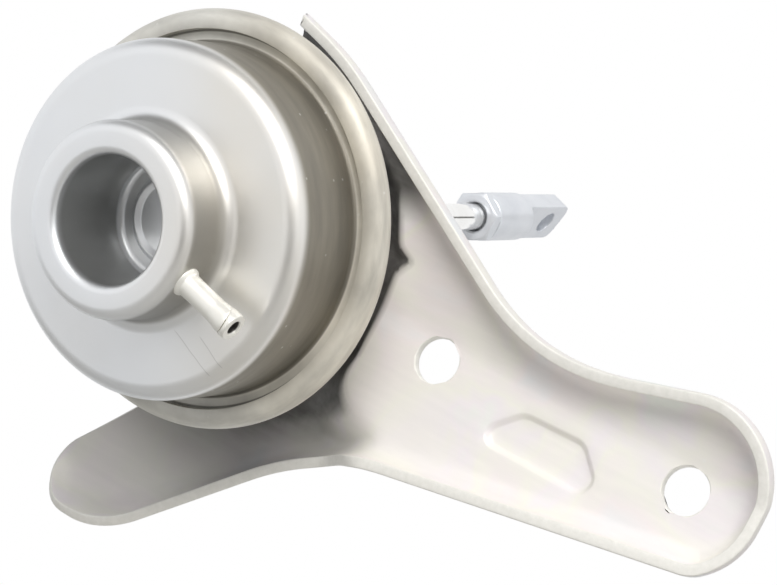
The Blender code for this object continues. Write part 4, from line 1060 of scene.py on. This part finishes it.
def paddle_blank(width, thickness, start, end, corner):
    """A flat bar with two rounded corners, along Z."""
    half = width / 2.0
    loop = fillet([(-half, start, 0.0), (half, start, 0.0), (half, end, corner),
        (-half, end, corner)], True)
    bar = bmesh.new()
    face = bar.faces.new([bar.verts.new((x * MM, -thickness * MM / 2.0, z * MM)) for x, z in loop])
    grown = bmesh.ops.extrude_face_region(bar, geom=[face])["geom"]
    bmesh.ops.translate(bar, verts=[v for v in grown if isinstance(v, bmesh.types.BMVert)],
        vec=(0.0, thickness * MM, 0.0))
    bmesh.ops.recalc_face_normals(bar, faces=bar.faces)
    bmesh.ops.rotate(bar, verts=bar.verts, matrix=FACE_PADDLE)
    return from_shape("paddle_blank", bar)


PADDLE_WIDTH, PADDLE, PADDLE_START, PADDLE_CORNER = 9.2, 4.4, 107.6, 2.4
rod_end = cut_with(barrel, [paddle_blank(PADDLE_WIDTH, PADDLE, PADDLE_START, PADDLE_TIP,
    PADDLE_CORNER)], "UNION")
EYE_PLACE = aimed((0.0, 0.0, EYE_CENTRE * MM), FACE_PADDLE @ Vector((0.0, 1.0, 0.0)))
EYE_HOLE, THREAD_HOLE, THREAD_HOLE_END = 2.6, 3.1, 108.3
rod_end = cut_with(rod_end, [drill("eye_drill", EYE_HOLE, -6.0, 6.0, 64, EYE_PLACE),
    drill("thread_drill", THREAD_HOLE, EYE_Y - 1.0, THREAD_HOLE_END, 64, LOCAL)])
skin = rod_end.modifiers.new("skin", "REMESH")
skin.mode, skin.voxel_size = "VOXEL", 0.17 * MM
rubbed = rod_end.modifiers.new("rubbed", "SMOOTH")
rubbed.factor, rubbed.iterations = 0.5, 5
rod_end = shade(plain_mesh(rod_end, "forged_rod_end", ALONG_Y), 60.0)
print("rod end", len(rod_end.data.polygons), "faces")

# %% [markdown]
# Two studs with lock washers and nuts hold the canister to the bracket. Each kind is made once on
# the axis. A second tree sets copies out on both sides of the rod and turns each by its own
# angle, because no two nuts stop alike. The copies become real faces at the end of the tree.

# %% Fasteners set out in a pair
def build_pair_tree():
    """Tree that sets two copies of a piece at a distance on either side of Z."""
    tree, given, result = new_tree("set_out_pair", "GeometryNodeTree",
        [("Geometry", "Geometry", None), ("Distance", "Float", 0.017), ("Turn", "Float", 0.0),
        ("Spin", "Float", 0.0), ("Material", "Material", None)], [("Geometry", "Geometry")])
    start = joined(tree, X=times(given["Distance"], -1.0))
    stride = joined(tree, X=times(given["Distance"], 2.0))
    line = add(tree, "GeometryNodeMeshLine",
        {"Count": 2, "Start Location": start, "Offset": stride})
    turned_line = add(tree, "GeometryNodeTransform",
        {"Geometry": line.outputs[0], "Rotation": joined(tree, Z=given["Turn"])})
    number = plus(add(tree, "GeometryNodeInputIndex").outputs[0], 1.0)
    copies = add(tree, "GeometryNodeInstanceOnPoints",
        {"Points": turned_line.outputs[0], "Instance": given["Geometry"],
        "Rotation": joined(tree, Z=times(number, given["Spin"]))})
    return close_tree(copies.outputs[0], given, result)


pair_tree = build_pair_tree()


def swept_ring(name, inner_radius, outer_radius, thickness, start, slit, steps=72):
    """A split ring: a rounded section swept almost once round Z."""
    section = fillet([(inner_radius, start, 0.2), (outer_radius, start, 0.2),
        (outer_radius, start + thickness, 0.2), (inner_radius, start + thickness, 0.2)], True, 30.0)
    half = slit / outer_radius / 2.0
    split = bmesh.new()
    loops = []
    for index in range(steps + 1):
        angle = math.pi / 2.0 + half + (math.tau - 2.0 * half) * index / steps
        loops.append([split.verts.new((x * math.cos(angle) * MM, x * math.sin(angle) * MM, z * MM))
            for x, z in section])
    for one, two in zip(loops, loops[1:]):
        for quad in band(one, two):
            split.faces.new(quad)
    split.faces.new(loops[0])
    split.faces.new(loops[-1][::-1])
    return from_shape(name, split)


stud_end, washer_y, nut_y = 32.5, 23.3, 25.1
NUT_BORE, STUD_NUT, WASHER, WASHER_WIRE, WASHER_SLIT = 3.2, 5.0, 4.9, 1.5, 0.9
stud_section = fillet([(0.0, 17.2, 0.0), (4.888, 17.2, 0.5), (4.888, 19.2, 0.1),
    (STUD_RADIUS, 19.2, 0.0), (STUD_RADIUS, 23.0, 0.0)])
stud_section += rows(STUD_RADIUS, 23.2, stud_end - 0.7)
stud_section += fillet([(STUD_RADIUS, stud_end - 0.6, 0.0), (2.3, stud_end, 0.1),
    (0.0, stud_end, 0.0)])
studs = turned("headed_studs", stud_section, 72, LOCAL, (23.5, stud_end + 1.0, STUD_RADIUS * 0.97),
    28.0)
washers = swept_ring("split_lock_washers", NUT_BORE, WASHER, WASHER_WIRE, washer_y, WASHER_SLIT)
nuts = hex_nut("hex_stud_nuts", FLATS, STUD_NUT, NUT_BORE, nut_y)
fasteners = []
for item, nodes_for, spin in ((studs, ["stud_1", "stud_2"], 0.0),
        (washers, ["lock_washer_1", "lock_washer_2"], 0.0),
        (nuts, ["stud_nut_1", "stud_nut_2"], math.radians(17.0))):
    grow(item, pair_tree, {"Distance": STUD_CIRCLE * MM, "Turn": BRACKET_TURN, "Spin": spin})
    made = shade(plain_mesh(item, item.name, ALONG_Y), 26.0)
    fasteners.append((made, "housing", nodes_for, "matt_zinc"))
    print(made.name, len(made.data.polygons), "faces")

# %% [markdown]
# A push-on clip holds the bush. It is a thin ring with slots cut from its bore, and the tongues
# between the slots stand back a little and bite on the bush.

# %% Bush clip
CLIP_INNER, CLIP_SLOT, CLIP_OUTER, CLIP_SHEET, CLIP_CELLS = 4.65, 5.9, 7.0, 0.6, 96
clip_shape = bmesh.new()
clip_rows = [[clip_shape.verts.new((r * math.cos(t) * MM, r * math.sin(t) * MM, z * MM))
    for t in (math.tau * i / CLIP_CELLS for i in range(CLIP_CELLS))]
    for r, z in ((CLIP_INNER, 23.72), (CLIP_SLOT, 23.34), (CLIP_OUTER, 23.34))]
for index in range(CLIP_CELLS):
    after = (index + 1) % CLIP_CELLS
    for row in range(2):
        if row == 1 or index % 16 > 2:
            clip_shape.faces.new((clip_rows[row][index], clip_rows[row + 1][index],
                clip_rows[row + 1][after], clip_rows[row][after]))
bmesh.ops.delete(clip_shape, geom=[v for v in clip_shape.verts if not v.link_faces],
    context="VERTS")
clip = from_shape("push_on_clip", clip_shape)
clip_wall = clip.modifiers.new("sheet", "SOLIDIFY")
clip_wall.thickness, clip_wall.offset = CLIP_SHEET * MM, 1.0
clip = soften(clip, 0.08, 50.0)
clip.data.transform(ALONG_Y)
shade(clip, 30.0)
print("clip", len(clip.data.polygons), "faces")

# %% [markdown]
# The return spring is hidden in the canister. A third tree winds it: points along a line are moved
# on to a helix whose first and last half turns lie close, and a circle is swept along the path.

# %% Return spring
def build_spring_tree():
    """Tree that winds a compression spring round Z."""
    tree, given, result = new_tree("wind_spring", "GeometryNodeTree",
        [("Coil Radius", "Float", 0.01), ("Wire Radius", "Float", 0.001), ("Turns", "Float", 5.0),
        ("Start", "Float", 0.0), ("Length", "Float", 0.02), ("Steps", "Int", 200),
        ("Material", "Material", None)], [("Geometry", "Geometry")])
    line = add(tree, "GeometryNodeMeshLine", {"Count": given["Steps"], "Offset": (0.0, 0.0, 0.001)})
    last = minus(given["Steps"], 1.0)
    share = over(add(tree, "GeometryNodeInputIndex").outputs[0], last)
    turns = times(share, given["Turns"])
    angle = times(turns, -math.tau)
    open_turns = minus(given["Turns"], 1.0)
    climb = over(minus(turns, 0.5), open_turns, clamp=True)
    close = times(given["Wire Radius"], 2.2)
    free = minus(given["Length"], close)
    lift = times_plus(climb, free, times(close, share))
    lift = plus(lift, given["Start"])
    x = times(math_node("COSINE", angle), given["Coil Radius"])
    y = times(math_node("SINE", angle), given["Coil Radius"])
    placed = add(tree, "GeometryNodeSetPosition",
        {"Geometry": line.outputs[0], "Position": joined(tree, X=x, Y=y, Z=lift)})
    path = add(tree, "GeometryNodeMeshToCurve", {0: placed.outputs[0]})
    wire = add(tree, "GeometryNodeCurvePrimitiveCircle",
        {"Resolution": 14, "Radius": given["Wire Radius"]})
    swept = add(tree, "GeometryNodeCurveToMesh",
        {"Curve": path.outputs[0], "Fill Caps": True, "Profile Curve": wire.outputs[0]})
    return close_tree(swept.outputs[0], given, result)


spring_tree = build_spring_tree()
spring = link_mesh("wound_spring", bpy.data.meshes.new("wound_spring"))
COIL, WIRE, COIL_TURNS, COIL_FRONT, COIL_LENGTH, COIL_POINTS = 9.36, 0.9, 5.5, -4.1, 21.3, 265
grow(spring, spring_tree, {"Coil Radius": COIL * MM, "Wire Radius": WIRE * MM, "Turns": COIL_TURNS,
    "Start": COIL_FRONT * MM, "Length": COIL_LENGTH * MM, "Steps": COIL_POINTS})
spring = shade(plain_mesh(spring, "wound_spring", ALONG_Y), 45.0)
print("spring", len(spring.data.polygons), "faces")

# %% [markdown]
# The finishes share a few effects, so each effect is a shader node group with named inputs. Fine
# grain is noise at the scale of plating crystals. Smudges are slow noise squeezed between two
# values. Specks are small round spots on scattered cells. A stroke is one soft line of a given
# length and width, for a scratch or a smear. A tint is the faint play of colour of a thin film.

# %% Shared effects
def grain(tree, given):
    """A height that changes over fractions of a millimetre."""
    return add(tree, "ShaderNodeTexNoise",
        {"Vector": given["Vector"], "Scale": given["Scale"], "Detail": given["Detail"],
        "Roughness": 0.6}).outputs[0]


def smudges(tree, given):
    """Slow noise between a low and a high value."""
    noise = add(tree, "ShaderNodeTexNoise",
        {"Vector": given["Vector"], "Scale": given["Scale"], "Detail": 4.0, "Roughness": 0.55})
    return add(tree, "ShaderNodeMapRange",
        {"Value": noise.outputs[0], "From Min": 0.3, "From Max": 0.7, "To Min": given["Low"],
        "To Max": given["High"]}).outputs[0]


def specks(tree, given):
    """Soft round spots in a share of the cells."""
    cells = add(tree, "ShaderNodeTexVoronoi", {"Vector": given["Vector"], "Scale": given["Scale"]})
    spot = add(tree, "ShaderNodeMapRange",
        {"Value": cells.outputs["Distance"], "From Min": given["Size"], "From Max": 0.0,
        "To Min": 0.0, "To Max": 1.0})
    pick = add(tree, "ShaderNodeSeparateColor", {0: cells.outputs["Color"]}).outputs[0]
    return times(spot.outputs[0], math_node("LESS_THAN", pick, given["Share"]))


def stroke(tree, given):
    """One soft line along +X from the pattern's origin, in the plane of X and Z."""
    parts = split_of(given["Vector"])
    noise = add(tree, "ShaderNodeTexNoise",
        {"Vector": given["Vector"], "Scale": 260.0, "Detail": 2.0})
    sway = times(minus(noise.outputs[0], 0.5), given["Wander"])
    aside = math_node("ABSOLUTE", plus(parts["Z"], sway))
    near = add(tree, "ShaderNodeMapRange",
        {"Value": aside, "From Min": given["Width"], "From Max": 0.0, "To Min": 0.0,
        "To Max": 1.0}).outputs[0]
    along = over(parts["X"], given["Length"])
    ends = times(times(along, minus(1.0, along)), 12.0, clamp=True)
    return times(near, ends)


def tint(tree, given):
    """Pale pink, yellow, green and blue that drift over a passivated face."""
    noise = add(tree, "ShaderNodeTexNoise",
        {"Vector": given["Vector"], "Scale": given["Scale"], "Detail": 3.0, "Distortion": 0.6})
    ramp = add(tree, "ShaderNodeValToRGB", {0: noise.outputs[0]})
    stops = ramp.color_ramp.elements
    stops[0].position, stops[0].color = 0.30, (0.93, 0.96, 1.0, 1.0)
    stops[1].position, stops[1].color = 0.70, (0.95, 0.99, 0.95, 1.0)
    for spot, colour in ((0.42, (1.0, 0.94, 0.95)), (0.52, (1.0, 0.985, 0.92)),
            (0.60, (0.99, 0.94, 0.98))):
        stops.new(spot).color = (*colour, 1.0)
    return ramp.outputs[0]


def effect(name, build, output, **numbers):
    """A shader group with a vector and named numbers; build makes what it puts out."""
    inputs = [("Vector", "Vector", None)]
    inputs += [(label, "Float", value) for label, value in numbers.items()]
    kind = "Color" if output == "Color" else "Float"
    tree, given, result = new_tree(name, "ShaderNodeTree", inputs, [(output, kind)])
    tree.links.new(build(tree, given), result[output])
    return tree


grain_group = effect("fine_grain", grain, "Height", Scale=3000.0, Detail=3.0)
smudge_group = effect("smudges", smudges, "Value", Scale=60.0, Low=0.9, High=1.0)
speck_group = effect("specks", specks, "Mask", Scale=700.0, Size=0.2, Share=0.2)
stroke_group = effect("stroke", stroke, "Mask", Length=0.01, Width=0.0001, Wander=0.0003)
tint_group = effect("passive_tint", tint, "Color", Scale=45.0)
print("shared effects", [g.name for g in bpy.data.node_groups if g.type == "SHADER"])

# %% [markdown]
# A finish starts from Blender's Principled shader. Small helpers place a group, move a pattern to
# its place on the part with a Mapping node, and mix colours. The grain always enters as a Bump.

# %% Helpers for finishes
def start_finish(name, metallic):
    """A new material; returns it with its tree, its shader and its object coordinates."""
    made = bpy.data.materials.new(name)
    made.use_nodes = True
    tree = made.node_tree
    shader = tree.nodes["Principled BSDF"]
    shader.inputs["Metallic"].default_value = metallic
    return made, tree, shader, add(tree, "ShaderNodeTexCoord").outputs["Object"]


def use(group, vector, **sockets):
    """Places a shared effect in a material; returns its first output."""
    return add(vector.id_data, "ShaderNodeGroup", {"Vector": vector, **sockets},
        node_tree=group).outputs[0]


def moved(vector, spot=(0.0, 0.0, 0.0), turn=(0.0, 0.0, 0.0), scale=(1.0, 1.0, 1.0)):
    """Object coordinates as seen from a place on the part, turned and stretched."""
    return add(vector.id_data, "ShaderNodeMapping",
        {"Vector": vector, "Location": spot, "Rotation": turn, "Scale": scale},
        vector_type="TEXTURE").outputs[0]


def blend(share, one, two, kind="MIX"):
    """Mixes two colours by a share."""
    tree = tree_of(share, one, two)
    node = tree.nodes.new("ShaderNodeMix")
    node.data_type, node.blend_type = "RGBA", kind
    colours = [socket for socket in node.inputs if socket.type == "RGBA"]
    for socket, value in ((node.inputs[0], share), (colours[0], one), (colours[1], two)):
        if isinstance(value, bpy.types.NodeSocket):
            tree.links.new(value, socket)
        elif socket.type == "RGBA":
            socket.default_value = (*value, 1.0)
        else:
            socket.default_value = value
    return [socket for socket in node.outputs if socket.type == "RGBA"][0]


def step(value, start, end):
    """0 before start, 1 after end, in millimetres, smooth between; start may be the larger."""
    return add(value.id_data, "ShaderNodeMapRange",
        {"Value": value, "From Min": start * MM, "From Max": end * MM, "To Min": 0.0,
        "To Max": 1.0}, interpolation_type="SMOOTHSTEP").outputs[0]


def round_axis(vector, across="XZ"):
    """The parts of a vector and its distance from the axis that isn't named."""
    parts = split_of(vector)
    flat = joined(vector.id_data, **{letter: parts[letter] for letter in across})
    return parts, length_of(flat)


def clouds(vector, scale, low=0.0, high=1.0):
    """Smudges placed in a material."""
    return use(smudge_group, vector, Scale=scale, Low=low, High=high)


def rough_and_grain(shader, vector, low, high, scale, grain_scale, depth):
    """Smudged roughness and a grain bump, which every finish has."""
    tree = shader.id_data
    tree.links.new(clouds(vector, scale, low, high), shader.inputs["Roughness"])
    height = use(grain_group, vector, Scale=grain_scale, Detail=3.0)
    bump = add(tree, "ShaderNodeBump", {"Height": height, "Distance": depth * MM, "Strength": 1.0})
    tree.links.new(bump.outputs[0], shader.inputs["Normal"])


print("finish helpers use", smudge_group.name, "and", grain_group.name)

# %% [markdown]
# The canister is zinc plated. The flat faces are pale. The drawn wall was rubbed by the die and is
# rougher; it is also painted browner and darker, as painted shade. The recess, the boss's wall and
# the gap before the bead are painted darker too, as painted shade. The face is painted cooler on
# the left and warmer on the right, a painted reflection tint laid on in smudges. Small pale specks
# lie on the wall, and two fine scratches run down the face. Every mask is measured in millimetres,
# out from the axis or along it.

# %% Zinc plate of the canister
# The wall, boss, recess and gap colours are painted shade; the cool and warm tones are a painted
# reflection tint.
WALL_SHADE_COLOUR, FACE_COLOUR = (0.32, 0.305, 0.27), (0.81, 0.815, 0.82)
RECESS_SHADE_COLOUR, BEAD_COLOUR = (0.40, 0.40, 0.39), (0.86, 0.84, 0.775)
BOSS_SHADE_COLOUR, SPECK_COLOUR = (0.42, 0.415, 0.40), (0.86, 0.85, 0.82)
GAP_SHADE_COLOUR, BAND_COLOUR = (0.16, 0.15, 0.13), (0.19, 0.18, 0.16)
SCRATCH_COLOUR = (0.35, 0.34, 0.33)
COOL_REFLECTION_TINT, WARM_REFLECTION_TINT = (0.98, 1.0, 1.03), (1.0, 0.965, 0.90)
WALL_OUT, WALL_BACK, BEAD_OUT = (30.2, 31.2), (-17.6, -15.2), (31.75, 32.05)
GAP_OUT, GAP_IN, GAP_FRONT = (33.25, 33.45), (33.85, 33.65), (3.5, 2.5)
RECESS_IN, RECESS_BACK, RECESS_FRONT = (11.9, 11.2), (-30.2, -28.0), (-12.6, -13.4)
BOSS_IN, BOSS_OUT, BOSS_BACK = (18.3, 17.4), (15.6, 16.8), (-30.2, -27.5)
SCRATCHES = (((6.0, 0.0, -18.6), 47.0, 11.5), ((11.4, 0.0, -19.7), 50.0, 7.5))
SCRATCH_WIDTH, FACE_ONLY, WARM_SIDE = 0.14, (-19.0, -19.3), (-2.0, 22.0)
zinc, tree, shader, vector = start_finish("zinc_plate", 1.0)
from_centre = moved(vector, AXIS)
parts, reach = round_axis(from_centre)
on_wall = times(step(reach, *WALL_OUT), step(parts["Y"], *WALL_BACK))
outside = step(reach, *BEAD_OUT)
crevice = times(step(reach, *GAP_OUT), step(reach, *GAP_IN), step(parts["Y"], *GAP_FRONT))
in_recess = times(step(reach, *RECESS_IN), step(parts["Y"], *RECESS_BACK),
    step(parts["Y"], *RECESS_FRONT))
on_boss = times(step(reach, *BOSS_IN), step(parts["Y"], *BOSS_BACK), step(reach, *BOSS_OUT))
# The drawn wall is painted darker and browner: painted shade.
colour = blend(on_wall, FACE_COLOUR, WALL_SHADE_COLOUR)
# The boss's wall is painted darker: painted shade.
colour = blend(on_boss, colour, BOSS_SHADE_COLOUR)
colour = blend(outside, colour, BEAD_COLOUR)
# The gap before the bead is painted dark: painted shade.
colour = blend(times(crevice, 0.8), colour, GAP_SHADE_COLOUR)
# The recess is painted darker: painted shade.
colour = blend(in_recess, colour, RECESS_SHADE_COLOUR)
# Cooler on the left, warmer on the right: a painted reflection tint, laid on unevenly by smudges.
side_reflection_tint = blend(step(parts["X"], *WARM_SIDE), COOL_REFLECTION_TINT, WARM_REFLECTION_TINT)
colour = blend(times_plus(clouds(vector, 48.0), 0.6, 0.4), colour,
    blend(1.0, colour, side_reflection_tint, "MULTIPLY"))
bands = clouds(moved(from_centre, scale=(6.0, 1.0, 6.0)), 420.0)
colour = blend(times(bands, times(on_wall, 0.5)), colour, BAND_COLOUR)
flecks = use(speck_group, vector, Scale=620.0, Size=0.2, Share=0.12)
colour = blend(times(flecks, times_plus(on_wall, 0.55, 0.12)), colour, SPECK_COLOUR)
for spot, angle, length in SCRATCHES:
    place = moved(from_centre, Vector(spot) * MM, (0.0, math.radians(angle), 0.0))
    line = use(stroke_group, place, Length=length * MM, Width=SCRATCH_WIDTH * MM)
    line = times(line, step(parts["Y"], *FACE_ONLY))
    colour = blend(times(line, 0.45), colour, SCRATCH_COLOUR)
tree.links.new(colour, shader.inputs["Base Color"])
rough_and_grain(shader, vector, 0.37, 0.45, 90.0, 2600.0, 0.006)
satin = times_plus(on_wall, -0.15, times_plus(outside, -0.45, 0.86))
tree.links.new(satin, shader.inputs["Metallic"])
smooth_part = shader.inputs["Roughness"].links[0].from_socket
rubbed_part = math_node("MAXIMUM", outside, times(on_wall, 0.8))
tree.links.new(times_plus(rubbed_part, 0.12, smooth_part), shader.inputs["Roughness"])
print("zinc plate", len(tree.nodes), "nodes")

# %% [markdown]
# The seat is painted darker near the canister: painted shade. How far it reaches is worked out once
# for each point of the sheet, on the flat blank, and kept as an attribute of the mesh. It thins out
# with the distance from the axis, lies deeper below the canister and in the shadowed gap, and also
# covers the inner side of the flange at the upper strip. The side away from the canister has none.

# %% The painted shade near the canister
# Painted shade on the bracket near the canister, kept as a mesh attribute.
SHADE_NEAR, SHADE_FAR = 36.0, 58.0
shade_layers = (
    # the part of the blank, where the painted shade starts to fade, over what length, how strong it
    # is
    ("seat", SHADE_NEAR, SHADE_FAR - SHADE_NEAR, 0.62), ("seat_below", 37.0, 12.0, 0.85),
    ("wing", 36.0, 9.0, 0.72), ("gap", 36.5, 5.5, 1.0), ("flange", 41.0, 4.0, 0.97))
BELOW_FROM, BELOW_RUN, WING_EDGE, GAP_GAIN = 8.0, 14.0, 4.0, 5.0
FLANGE_FROM, FLANGE_RUN, LOOKS_IN, LOOKS_IN_LIMIT = 20.0, 16.0, (0.5, 0.0, 0.86), 0.25
FACING_FROM, FACING_RUN = 0.2, 0.4
row_points = np.array([tuple(v.co) for v in bracket.data.vertices]) - np.array(AXIS)
turn_back = np.array(Matrix.Rotation(-BRACKET_TURN, 3, "Y"))
blank_points = (row_points @ turn_back.T)[:, [0, 2]] / MM
normals = np.array([tuple(v.normal) for v in bracket.data.vertices]) @ turn_back.T
from_middle = np.hypot(*blank_points.T)
share = lowered(blank_points)
below = ease((-blank_points[:, 1] - BELOW_FROM) / BELOW_RUN)
angle_round = np.degrees(np.arctan2(blank_points[:, 1], blank_points[:, 0]))
parts_of_blank = {"seat": share, "seat_below": share * below,
    "wing": (blank_points[:, 0] < WING_EDGE) * below, "gap": np.clip(share * GAP_GAIN, 0.0, 1.0),
    "flange": (normals @ np.array(LOOKS_IN) < LOOKS_IN_LIMIT)
    * ease((angle_round - FLANGE_FROM) / FLANGE_RUN)}
shade_amount = np.zeros(len(blank_points))
for part, near, run, strength in shade_layers:
    fading = 1.0 - ease((from_middle - near) / run)
    shade_amount = np.maximum(shade_amount, parts_of_blank[part] * fading * strength)
canister_side = 1.0 - ease((normals[:, 1] - FACING_FROM) / FACING_RUN)
for label, values in (("oily_film", shade_amount * canister_side), ("canister_side", canister_side)):
    layer = bracket.data.attributes.new(label, "FLOAT", "POINT")
    layer.data.foreach_set("value", values.astype(np.float32))
print("film on", int((shade_amount > 0.5).sum()), "of", len(shade_amount), "points")

# %% [markdown]
# The bracket's sheet is pale, with a thin passivated film that shows faint colours. It was rolled,
# so its grain runs along the arm. Besides the painted shade near the canister, a weak painted
# shadow of the canister lies under it, on the side that faces it. The sheared edge is brighter,
# with streaks across it from the shear.

# %% Passivated sheet and its sheared edge
SHEET_COLOUR, PAINTED_SHADE_COLOUR = (0.95, 0.945, 0.93), (0.03, 0.028, 0.026)
SMEAR_COLOUR = (0.96, 0.96, 0.95)
STREAK_COLOUR, EDGE_PALE, EDGE_DARK = (0.60, 0.60, 0.60), (0.97, 0.955, 0.91), (0.89, 0.88, 0.83)
SHADOW_IN, SHADOW_LOW, SHADOW_LEFT = (58.0, 40.0), (-14.0, -24.0), (6.0, -8.0)


def mesh_value(tree, name):
    """A value kept in the mesh."""
    return add(tree, "ShaderNodeAttribute", attribute_name=name).outputs["Fac"]


passivated, tree, shader, vector = start_finish("passivated_sheet", 0.08)
tinted = blend(1.0, SHEET_COLOUR, use(tint_group, vector, Scale=42.0), "MULTIPLY")
colour = blend(0.85, SHEET_COLOUR, tinted)
patchy = clouds(vector, 90.0, 0.86, 1.0)
# Painted shade near the canister, read from the mesh attribute.
colour = blend(times(mesh_value(tree, "oily_film"), patchy), colour, PAINTED_SHADE_COLOUR)
parts, reach = round_axis(moved(vector, AXIS))
# A painted shadow of the canister on the wing below it, on the side that faces it.
painted_shadow = times(step(reach, *SHADOW_IN), step(parts["Z"], *SHADOW_LOW),
    step(parts["X"], *SHADOW_LEFT), mesh_value(tree, "canister_side"), 0.5)
colour = blend(painted_shadow, colour, PAINTED_SHADE_COLOUR)
along_arm = moved(vector, AXIS, (0.0, BRACKET_TURN, 0.0), (8.0, 1.0, 1.0))
colour = blend(times(clouds(along_arm, 700.0), 0.10), colour, STREAK_COLOUR)
flecks = use(speck_group, vector, Scale=260.0, Size=0.14, Share=0.08)
colour = blend(times(flecks, 0.5), colour, SMEAR_COLOUR)
tree.links.new(colour, shader.inputs["Base Color"])
rough_and_grain(shader, along_arm, 0.40, 0.52, 50.0, 2200.0, 0.007)
print("passivated sheet", len(tree.nodes), "nodes")

cut_edge, tree, shader, vector = start_finish("cut_edge", 0.08)
across_edge = moved(vector, AXIS, scale=(1.0, 9.0, 1.0))
tree.links.new(blend(clouds(across_edge, 900.0), EDGE_PALE, EDGE_DARK), shader.inputs["Base Color"])
rough_and_grain(shader, across_edge, 0.40, 0.60, 120.0, 1800.0, 0.012)
print("cut edge", len(tree.nodes), "nodes")

# %% [markdown]
# The rest are simpler. The rod is ground, with fine rings left by the wheel. The nut, rod end and
# fasteners have a matt bluish zinc, the nipple a warmer one. Spring wire is drawn and dark, the
# bush is porous bronze, and the diaphragm is rubber over cloth.

# %% Finishes of the small pieces
def small_finish(name, metallic, pale, dark, rough, scale, grain_scale, depth, stretch):
    """A finish of two mixed colours, smudged roughness and grain, stretched where it was worked."""
    made, tree, shader, vector = start_finish(name, metallic)
    placed = moved(vector, AXIS, scale=stretch)
    tree.links.new(blend(clouds(placed, scale), pale, dark), shader.inputs["Base Color"])
    rough_and_grain(shader, placed, *rough, scale * 1.6, grain_scale, depth)
    print(name, len(tree.nodes), "nodes")
    return made


EVEN, ROUND_THE_ROD = (1.0, 1.0, 1.0), (12.0, 0.5, 12.0)
finishes = {"zinc_plate": zinc, "passivated_sheet": passivated}
for row in (
        # name, metallic, pale colour, dark colour, roughness, cloud scale, grain scale and depth
        ("polished_steel", 1.0, (0.93, 0.93, 0.92), (0.86, 0.855, 0.84), (0.09, 0.16), 90.0,
         2400.0, 0.002, ROUND_THE_ROD),
        ("matt_zinc", 0.35, (0.86, 0.885, 0.93), (0.77, 0.80, 0.85), (0.34, 0.44), 160.0,
         3000.0, 0.008, EVEN),
        ("bright_zinc", 0.5, (0.93, 0.92, 0.87), (0.87, 0.86, 0.81), (0.42, 0.5), 200.0,
         3000.0, 0.005, EVEN),
        ("spring_steel", 1.0, (0.34, 0.34, 0.35), (0.24, 0.24, 0.25), (0.28, 0.4), 150.0,
         3600.0, 0.004, EVEN),
        ("sintered_bronze", 0.9, (0.66, 0.47, 0.27), (0.50, 0.34, 0.18), (0.45, 0.6), 300.0,
         4200.0, 0.03, EVEN),
        ("diaphragm_rubber", 0.0, (0.035, 0.035, 0.035), (0.02, 0.02, 0.02), (0.6, 0.75), 120.0,
         2200.0, 0.02, EVEN)):
    finishes[row[0]] = small_finish(*row)

# %% [markdown]
# The nipple's bore is nearly black, since hardly any light gets in. A mask measured from the
# nipple's own axis darkens it. The solids get their finishes too, by the slot that each one names.

# %% The nipple's bore and the solids
BORE_EDGE, BORE_COLOUR = (NIPPLE_BORE + 0.2, NIPPLE_BORE + 0.08), (0.07, 0.065, 0.06)
tree = finishes["bright_zinc"].node_tree
vector = add(tree, "ShaderNodeTexCoord").outputs["Object"]
parts, reach = round_axis(moved(vector, NIPPLE_PLACE.translation, NIPPLE_PLACE.to_euler()), "XY")
base = tree.nodes["Principled BSDF"].inputs["Base Color"]
tree.links.new(blend(step(reach, *BORE_EDGE), base.links[0].from_socket, BORE_COLOUR), base)
slot_of = {row["node"]: row["material_slot"] for row in frame["record"]["subparts"]}
for name, item in frame["nodes"].items():
    item.data.materials.clear()
    item.data.materials.append(finishes[slot_of[name]])
print("solids with a finish", len(slot_of))

# %% [markdown]
# Each piece replaces the plain solids of the same name and rides on the body that carries them.
# The rod, its cup, plates, nut and rod end slide together, and all the rest stays with the housing.
# The diaphragm isn't put on a body; its place is applied to its own points. The return spring gets
# a mesh of its own.

# %% Where every piece rides
pieces = [(cover, "housing", ["front_cover"], "zinc_plate"),
    (shell_body, "housing", ["rear_shell"], "zinc_plate"),
    (bracket, "housing", ["bracket"], "passivated_sheet"),
    (nipple, "housing", ["hose_nipple"], "matt_zinc"), (rod, "rod_set", ["rod"], "polished_steel"),
    (jam_nut, "rod_set", ["jam_nut"], "matt_zinc"), (rod_end, "rod_set", ["rod_end"], "matt_zinc"),
    (clip, "housing", ["bush_clip"], "matt_zinc"),
    (spring, "housing", ["return_spring"], "spring_steel")] + turned_pieces + fasteners
for piece, body, nodes_replaced, kind in pieces:
    if piece is not bracket:
        piece.data.materials.clear()
        piece.data.materials.append(finishes["bright_zinc" if piece is nipple else kind])
    if "diaphragm" in nodes_replaced:
        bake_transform(piece)
    else:
        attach(piece, body)
    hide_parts(*nodes_replaced)
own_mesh(spring)
bracket.data.materials[0], bracket.data.materials[1] = passivated, cut_edge
print("pieces", len(pieces))
